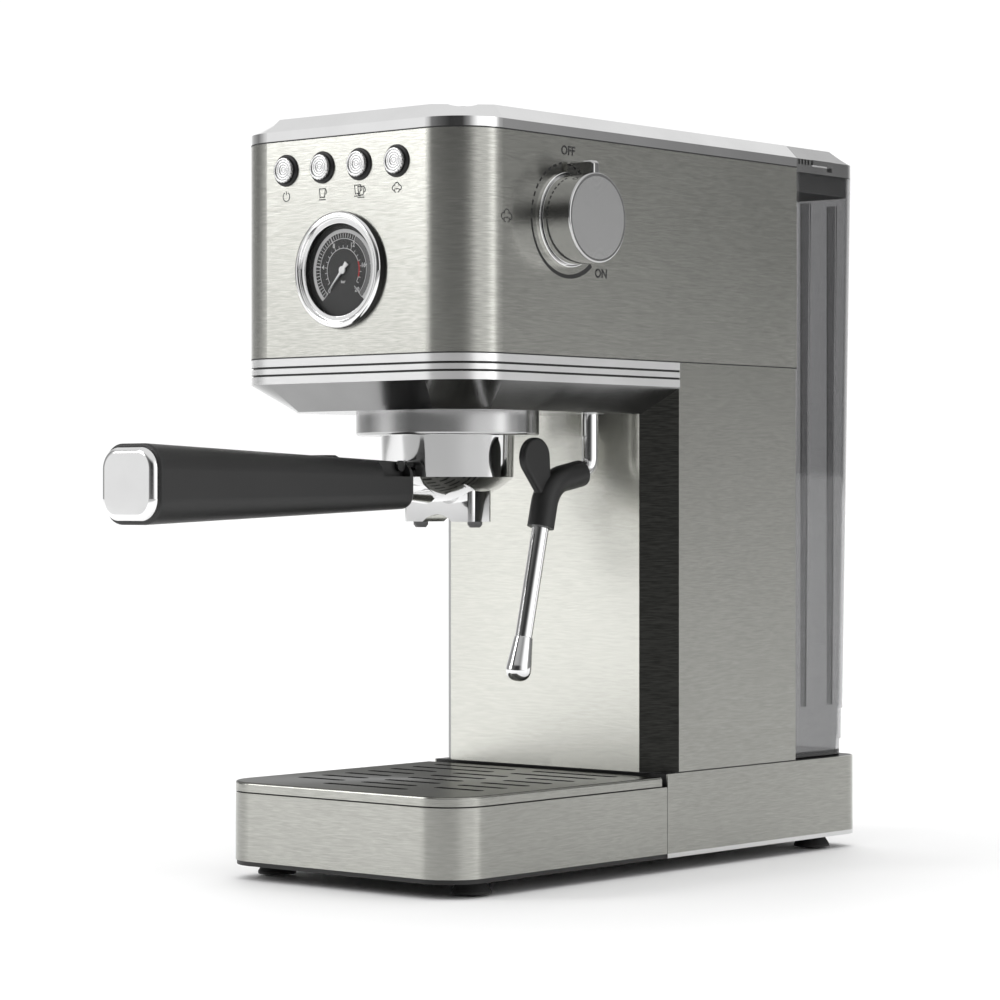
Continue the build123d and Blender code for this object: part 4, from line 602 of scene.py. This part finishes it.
def in_slot(way, place):
    """The walls of the slots, below the top of the grid."""
    return within_rim(place) and place.z < grid_high.z - GRID_SKIN


def on_grid_edge(way, place):
    """The upright edge that runs round the grid."""
    return abs(way.z) < UPRIGHT and not within_rim(place)


# The dark corner steel and the black slot walls are painted shade.
dress_faces("splash_panel", steel_painted_shade, on_folded_corner)
dress_faces("drip_grid", black_moulding, in_slot)
dress_faces("drip_grid", steel_body, on_grid_edge)

# %% [markdown]
# The two grooves of the lower frame and the outer wall of the gauge ring get the black of the
# mouldings as painted shade, for the shade in the grooves and in the gap round the ring, and the
# flange under the lid is bare plastic.

# %% Grooves, gauge ring and lid
TRIM_GROOVES = ((3.38, 4.37), (6.73, 7.72))
BEZEL_FLAT = 23.0 * MM
SIDEWAYS = 0.45
LID_SEAT = 0.01 * MM
trim_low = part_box("lower_trim")[0]
tank_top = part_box("water_tank")[1].z
bezel = middle("gauge_bezel")


def in_trim_groove(way, place):
    """The two grooves that run round the lower frame, by their height in millimetres."""
    level = (place.z - trim_low.z) / MM
    return any(low < level < high for low, high in TRIM_GROOVES)


def on_bezel_side(way, place):
    """The outer wall of the gauge ring, turned away from the front."""
    from_axis = math.hypot(place.x - bezel.x, place.z - bezel.z)
    return way.y > -SIDEWAYS and from_axis > BEZEL_FLAT


def under_lid(way, place):
    """The flange of the lid that hangs into the tank."""
    return place.z < tank_top + LID_SEAT


# Black grooves and black outer wall of the ring: painted shade.
dress_faces("lower_trim", black_moulding, in_trim_groove)
dress_faces("gauge_bezel", black_moulding, on_bezel_side)
dress_faces("tank_lid", lid_inside, under_lid)

# %% [markdown]
# ## Printing tools
# Marks are printed on the sheet: a bar is a plane, an arc is one short edge spun round a
# centre, and a word is set in type. They are drawn lying flat, in millimetres.

# %% Bars and arcs
ARC_STEP = 6.0
WELD = 0.000001


def bar(x0, y0, x1, y1, width):
    """A straight stroke between two points, in millimetres."""
    start_fresh()
    length = math.hypot(x1 - x0, y1 - y0)
    place = ((x0 + x1) / 2.0 * MM, (y0 + y1) / 2.0 * MM, 0.0)
    slant = (0.0, 0.0, math.atan2(y1 - y0, x1 - x0))
    bpy.ops.mesh.primitive_plane_add(size=1.0, location=place, rotation=slant)
    stroke = bpy.context.active_object
    stroke.scale = ((length + width) * MM, width * MM, 1.0)
    bpy.ops.object.transform_apply(location=True, rotation=True, scale=True)
    return stroke


def arc(x, y, radius, width, start, sweep):
    """A stroke round a centre: an edge across the stroke is spun through the sweep."""
    start_fresh()
    turn = math.radians(start)
    place = (radius * math.cos(turn) * MM, radius * math.sin(turn) * MM, 0.0)
    bpy.ops.mesh.primitive_plane_add(size=width * MM, location=place, rotation=(0.0, 0.0, turn))
    stroke = bpy.context.active_object
    stroke.scale = (1.0, 0.0, 1.0)
    bpy.ops.object.transform_apply(location=True, rotation=True, scale=True)
    bpy.ops.object.mode_set(mode="EDIT")
    bpy.ops.mesh.select_all(action="SELECT")
    bpy.ops.mesh.remove_doubles(threshold=WELD)
    bpy.ops.mesh.select_all(action="SELECT")
    steps = max(2, round(abs(sweep) / ARC_STEP))
    turned_by = -math.radians(sweep)
    bpy.ops.mesh.spin(steps=steps, angle=turned_by, center=(0.0, 0.0, 0.0), axis=(0.0, 0.0, 1.0))
    bpy.ops.mesh.select_all(action="SELECT")
    bpy.ops.mesh.remove_doubles(threshold=WELD)
    bpy.ops.object.mode_set(mode="OBJECT")
    stroke.location = (x * MM, y * MM, 0.0)
    bpy.ops.object.transform_apply(location=True, rotation=True, scale=True)
    return stroke


print("strokes ready: bar, arc")

# %% [markdown]
# Words are set in the plain built-in type, made a little bolder, and turned into faces.

# %% Words
BOLD = 0.03
CURVE_STEPS = 3


def word(text, x, y, size):
    """A word set in type round a point."""
    start_fresh()
    bpy.ops.object.text_add(location=(0.0, 0.0, 0.0))
    lettering = bpy.context.active_object
    lettering.data.body = text
    lettering.data.size = size * MM
    lettering.data.align_x = "CENTER"
    lettering.data.align_y = "CENTER"
    lettering.data.resolution_u = CURVE_STEPS
    lettering.data.offset = BOLD * size * MM
    bpy.ops.object.convert(target="MESH")
    lettering = bpy.context.active_object
    lettering.location = (x * MM, y * MM, 0.0)
    bpy.ops.object.transform_apply(location=True, rotation=True, scale=True)
    return lettering


print("words ready")

# %% [markdown]
# A mark is printed last: its strokes are joined, turned face up, thickened to a coat of
# ink and stood on the sheet. A real machine is printed through a screen in the same way,
# all strokes of one sign at once.

# %% Printing
INK = 0.00005
INK_OUT = 0.6
FACING = {"front": (90.0, 0.0, 0.0), "right": (90.0, 0.0, 90.0)}


def print_mark(name, strokes, facing, place, finish, body="machine"):
    """Joins flat strokes into one mark, gives it the thickness of ink and stands it on its face."""
    start_fresh()
    for stroke in strokes:
        stroke.select_set(True)
    bpy.context.view_layer.objects.active = strokes[0]
    if len(strokes) > 1:
        bpy.ops.object.join()
    mark = bpy.context.active_object
    mark.name = name
    bpy.ops.object.mode_set(mode="EDIT")
    bpy.ops.mesh.select_all(action="SELECT")
    bpy.ops.mesh.normals_make_consistent(inside=False)
    bpy.ops.object.mode_set(mode="OBJECT")
    upward = sum(face.normal.z * face.area for face in mark.data.polygons)
    if upward < 0.0:
        bpy.ops.object.mode_set(mode="EDIT")
        bpy.ops.mesh.flip_normals()
        bpy.ops.object.mode_set(mode="OBJECT")
    ink = mark.modifiers.new("ink", "SOLIDIFY")
    ink.thickness = INK
    ink.offset = INK_OUT
    bpy.ops.object.modifier_apply(modifier="ink")
    mark.rotation_euler = [math.radians(value) for value in FACING[facing]]
    mark.location = place
    bpy.ops.object.transform_apply(location=True, rotation=True, scale=True)
    mark.data.materials.clear()
    mark.data.materials.append(finish)
    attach(mark, body)
    print(name, "faces:", len(mark.data.polygons))
    return mark


print("marks face:", ", ".join(FACING))

# %% [markdown]
# ## Shadow joints
# The steel sheet of the head stops a hair short of the plated frames above and below it,
# and the joint reads as a thin dark line. Each line is a painted shadow: a narrow strip of dark ink,
# a box without its top, bottom and back, whose two upright front edges are rounded like the sheet.

# %% Shadow joints
JOINT = 0.6 * MM
HEAD_ROUND = 23.4 * MM
HEAD_ROUND_STEPS = 16


def pick(piece, kind, test):
    """Goes to edit mode with only those faces or edges selected that pass a test."""
    bpy.ops.object.mode_set(mode="EDIT")
    bpy.ops.mesh.select_mode(type=kind)
    bpy.ops.mesh.select_all(action="DESELECT")
    bpy.ops.object.mode_set(mode="OBJECT")
    parts = piece.data.polygons if kind == "FACE" else piece.data.edges
    for part in parts:
        part.select = test(part)
    bpy.ops.object.mode_set(mode="EDIT")


def shadow_joint(name, level):
    """A painted shadow: a dark strip round the front and the sides of the head at a level."""
    low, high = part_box("head_wrap")
    start_fresh()
    place = ((low.x + high.x) / 2.0, (low.y + high.y) / 2.0, level)
    bpy.ops.mesh.primitive_cube_add(size=1.0, location=place)
    strip = bpy.context.active_object
    strip.name = name
    strip.scale = (high.x - low.x, high.y - low.y, JOINT)
    bpy.ops.object.transform_apply(location=True, rotation=True, scale=True)
    pick(strip, "FACE", lambda face: abs(face.normal.z) > 0.5 or face.normal.y > 0.5)
    bpy.ops.mesh.delete(type="FACE")
    bpy.ops.object.mode_set(mode="OBJECT")
    corners = strip.data.vertices

    def upright_in_front(edge):
        first, last = (corners[index].co for index in edge.vertices)
        return abs(first.z - last.z) > JOINT / 2.0 and max(first.y, last.y) < low.y + MM

    pick(strip, "EDGE", upright_in_front)
    bpy.ops.mesh.bevel(offset=HEAD_ROUND, segments=HEAD_ROUND_STEPS, affect="EDGES")
    bpy.ops.object.mode_set(mode="OBJECT")
    ink = strip.modifiers.new("ink", "SOLIDIFY")
    ink.thickness = INK
    ink.offset = INK_OUT
    bpy.ops.object.modifier_apply(modifier="ink")
    strip.data.materials.append(dark_ink)
    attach(strip, "machine")
    print(name, "faces:", len(strip.data.polygons))
    return strip


head_low, head_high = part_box("head_wrap")
# Dark ink strips painted as the shadow in the joints.
shadow_joint("painted_shadow_under_top_frame", head_high.z - JOINT / 2.0)
shadow_joint("painted_shadow_over_lower_frame", head_low.z + JOINT / 2.0)

# %% [markdown]
# ## Signs under the buttons
# Each button has its sign just below it: power, one cup, two cups and steam. They could be
# a picture, but as drawn strokes they stay sharp at any size and are easy to change.

# %% Signs
LINE = 0.44
SIGN_DROP = 11.5 * MM


def power_sign():
    """An open ring with a stroke in its gap."""
    return [arc(0.0, 0.0, 2.0, LINE, 118.0, 304.0), bar(0.0, 0.9, 0.0, 2.2, LINE)]


def cup_sign(x, y):
    """A cup seen from the side: its outline, its ear and the line of the saucer."""
    corners = ((-1.9, 2.2), (-1.4, -1.5), (1.2, -1.5), (1.7, 2.2))
    strokes = []
    for (a, b), (c, d) in zip(corners, corners[1:] + corners[:1]):
        strokes.append(bar(x + a, y + b, x + c, y + d, LINE))
    strokes.append(arc(x + 1.5, y + 0.7, 1.0, LINE, -80.0, 170.0))
    strokes.append(bar(x - 1.9, y - 2.5, x + 1.7, y - 2.5, LINE))
    return strokes


def steam_sign(size):
    """A puff of steam: three lobes over a short drop."""
    strokes = [arc(-1.5 * size, 0.0, 1.1 * size, LINE, 60.0, 220.0)]
    strokes.append(arc(0.0, 1.1 * size, 1.2 * size, LINE, -10.0, 200.0))
    strokes.append(arc(1.5 * size, 0.0, 1.1 * size, LINE, -100.0, 220.0))
    strokes.append(arc(-0.55 * size, -1.1 * size, 0.8 * size, LINE, 120.0, 150.0))
    strokes.append(arc(0.55 * size, -1.1 * size, 0.8 * size, LINE, -90.0, 150.0))
    strokes.append(arc(0.0, 0.0, 0.55 * size, LINE, 200.0, 140.0))
    return strokes


front_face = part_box("head_wrap")[0].y
sign_height = middle("power_button").z - SIGN_DROP
signs = (
    power_sign(),
    cup_sign(0.0, 0.0),
    cup_sign(-0.9, 0.35) + cup_sign(1.1, -0.35),
    steam_sign(1.0),
)
for button, strokes in zip(BUTTONS, signs):
    place = (middle(button).x, front_face, sign_height)
    print_mark(button + "_sign", strokes, "front", place, dark_ink)

# %% [markdown]
# ## Marks round the steam knob
# The right side carries OFF over the knob, ON at its lower right and a curved scale:
# a dashed line that turns into a solid one and grows thicker as the valve opens. Short
# arcs, each a little wider than the one before, make the line swell.

# %% Knob marks
right_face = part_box("head_wrap")[1].x
knob = middle("knob_collar")
knob_place = (right_face, knob.y, knob.z)
SCALE_RADIUS = 24.6
SCALE_LINE = 0.9
DASH, DASH_PITCH, DASH_START = 5.4, 9.0, 100.0
SWELL, SWELL_PITCH, SWELL_START = 0.04, 4.0, 182.0
WORD_SIZE = 5.4
OFF_PLACE, ON_PLACE = (0.0, 29.8), (22.8, -22.3)
STEAM_AHEAD, STEAM_BELOW, STEAM_SIZE = 41.0 * MM, 1.1 * MM, 1.3
dashes = []
for step in range(9):
    dashes.append(arc(0.0, 0.0, SCALE_RADIUS, SCALE_LINE, DASH_START + DASH_PITCH * step, DASH))
swell = []
for step in range(32):
    width, start = SCALE_LINE + SWELL * step, SWELL_START + SWELL_PITCH * step
    swell.append(arc(0.0, 0.0, SCALE_RADIUS, width, start, SWELL_PITCH))
print_mark("steam_scale", dashes + swell, "right", knob_place, dark_ink)
print_mark("off_word", [word("OFF", *OFF_PLACE, WORD_SIZE)], "right", knob_place, dark_ink)
print_mark("on_word", [word("ON", *ON_PLACE, WORD_SIZE)], "right", knob_place, dark_ink)
steam_place = (right_face, knob.y - STEAM_AHEAD, knob.z - STEAM_BELOW)
print_mark("side_steam_sign", steam_sign(STEAM_SIZE), "right", steam_place, dark_ink)

# %% [markdown]
# ## Dial
# The dial card is dark. A pale band runs round its edge from the lower left to the lower
# right, with ticks and numbers inside it, thin lines below them, a grey zone for the upper
# part of the scale and a short red stretch where the pressure is too high. Everything is
# set out by value, so the marks follow the sweep of the needle.

# %% Dial scale
SCALE_TURN = 274.0
SCALE_START = 90.0 + SCALE_TURN / 2.0
SCALE_END = 20
MAJORS = range(0, SCALE_END + 1, 4)
dial_low, dial_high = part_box("gauge_dial")
dial_place = ((dial_low.x + dial_high.x) / 2.0, dial_low.y, (dial_low.z + dial_high.z) / 2.0)


def on_scale(value):
    """The angle of a value of the scale, from 0 to 20, turning clockwise."""
    return SCALE_START - SCALE_TURN * value / SCALE_END


def tick(value, inner, outer, width):
    """A radial stroke at a value of the scale."""
    turn = math.radians(on_scale(value))
    across, up = math.cos(turn), math.sin(turn)
    return bar(inner * across, inner * up, outer * across, outer * up, width)


def ring(radius, width, start, end):
    """A stroke round the dial between two values of the scale."""
    return arc(0.0, 0.0, radius, width, on_scale(start), on_scale(end) - on_scale(start))


print("dial scale: 0 to", SCALE_END, "over", SCALE_TURN, "degrees")

# %% [markdown]
# Band, ticks, thin lines and numbers are one coat of pale ink. The grey zone lies half a
# coat deeper and the red stretch half a coat higher, so that no two inks share a face.

# %% Dial marks
BAND_RADIUS, BAND_WIDTH = 17.0, 1.6
TICK_OUTER, TICK_INNER, MAJOR_INNER = 15.9, 14.2, 13.6
TICK_STEP, TICK_WIDTH, MAJOR_WIDTH = 0.4, 0.26, 0.6
NUMBER_RADIUS, NUMBER_SIZE = 12.0, 2.7
OUTER_LINE, INNER_LINE, THIN = 13.7, 9.5, 0.28
SHORT_INNER, SHORT_OUTER = 9.7, 10.7
ZONE_RADIUS, ZONE_WIDTH, ZONE_FROM = 15.0, 1.8, 12
LIMIT_WIDTH, LIMIT_FROM, LIMIT_TO = 0.7, 15, 18
UNIT_PLACE, UNIT_SIZE = (0.0, -5.0), 2.0
band = [ring(BAND_RADIUS, BAND_WIDTH, 0, SCALE_END)]
ticks = [tick(step * TICK_STEP, TICK_INNER, TICK_OUTER, TICK_WIDTH) for step in range(51)]
ticks = ticks + [tick(step, MAJOR_INNER, TICK_OUTER, MAJOR_WIDTH) for step in MAJORS]
thin = [ring(OUTER_LINE, THIN, 0, SCALE_END), ring(INNER_LINE, THIN, 1, SCALE_END - 1)]
short = [tick(step, SHORT_INNER, SHORT_OUTER, TICK_WIDTH) for step in range(SCALE_END + 1)]
numbers = []
for value in MAJORS:
    turn = math.radians(on_scale(value))
    across, up = NUMBER_RADIUS * math.cos(turn), NUMBER_RADIUS * math.sin(turn)
    numbers.append(word(str(value), across, up, NUMBER_SIZE))
print_mark("dial_scale", band + ticks + thin + short + numbers, "front", dial_place, pale_ink)
behind = (dial_place[0], dial_place[1] + INK / 2.0, dial_place[2])
before = (dial_place[0], dial_place[1] - INK / 2.0, dial_place[2])
zone = [ring(ZONE_RADIUS, ZONE_WIDTH, ZONE_FROM, SCALE_END)]
print_mark("dial_zone", zone, "front", behind, grey_ink)
limit = [ring(INNER_LINE, LIMIT_WIDTH, LIMIT_FROM, LIMIT_TO)]
print_mark("dial_limit", limit, "front", before, red_ink)
print_mark("dial_unit", [word("bar", *UNIT_PLACE, UNIT_SIZE)], "front", dial_place, pale_ink)

# %% [markdown]
# ## Screws under the pan
# The pan is held to the base by round-headed screws with a socket for the driver. Each is
# a cylinder whose rim is bevelled and whose face is inset and pushed in for the driver.

# %% Screws
SCREW_RADIUS = 3.0 * MM
SCREW_HEIGHT = 1.6 * MM
SCREW_RIM = 0.35 * MM
SCREW_FLAT, SCREW_SLOPE, SCREW_DRIVE = 1.4 * MM, 0.5 * MM, 0.7 * MM
SCREW_REACH, SCREW_ROW = 0.30, 0.24
pan_low, pan_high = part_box("base_pan")
pan_middle = (pan_low + pan_high) / 2.0


def pan_screw(name, x, y):
    """A screw head that stands a little out of the underside."""
    start_fresh()
    bpy.ops.mesh.primitive_cylinder_add(
        vertices=24, radius=SCREW_RADIUS, depth=SCREW_HEIGHT, location=(x, y, pan_low.z))
    screw = bpy.context.active_object
    screw.name = name
    bpy.ops.object.transform_apply(location=True, rotation=True, scale=True)
    pick(screw, "FACE", lambda face: face.normal.z < -0.5)
    bpy.ops.mesh.inset(thickness=SCREW_FLAT, depth=0.0)
    bpy.ops.mesh.inset(thickness=SCREW_SLOPE, depth=-SCREW_DRIVE)
    bpy.ops.object.mode_set(mode="OBJECT")
    rim = screw.modifiers.new("rim", "BEVEL")
    rim.width = SCREW_RIM
    rim.segments = 2
    rim.limit_method = "ANGLE"
    bpy.ops.object.modifier_apply(modifier="rim")
    screw.data.materials.append(zinc_plate)
    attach(screw, "machine")
    return screw


reach = SCREW_REACH * (pan_high.x - pan_low.x)
screws = []
for row in range(3):
    along = pan_middle.y + (row - 1) * SCREW_ROW * (pan_high.y - pan_low.y)
    for side in (-1, 1):
        name = "pan_screw_%d_%d" % (row, side + 1)
        screws.append(pan_screw(name, pan_middle.x + side * reach, along))
print("screws:", len(screws))

# %% [markdown]
# ## End

# %% End
print("machine dressed")
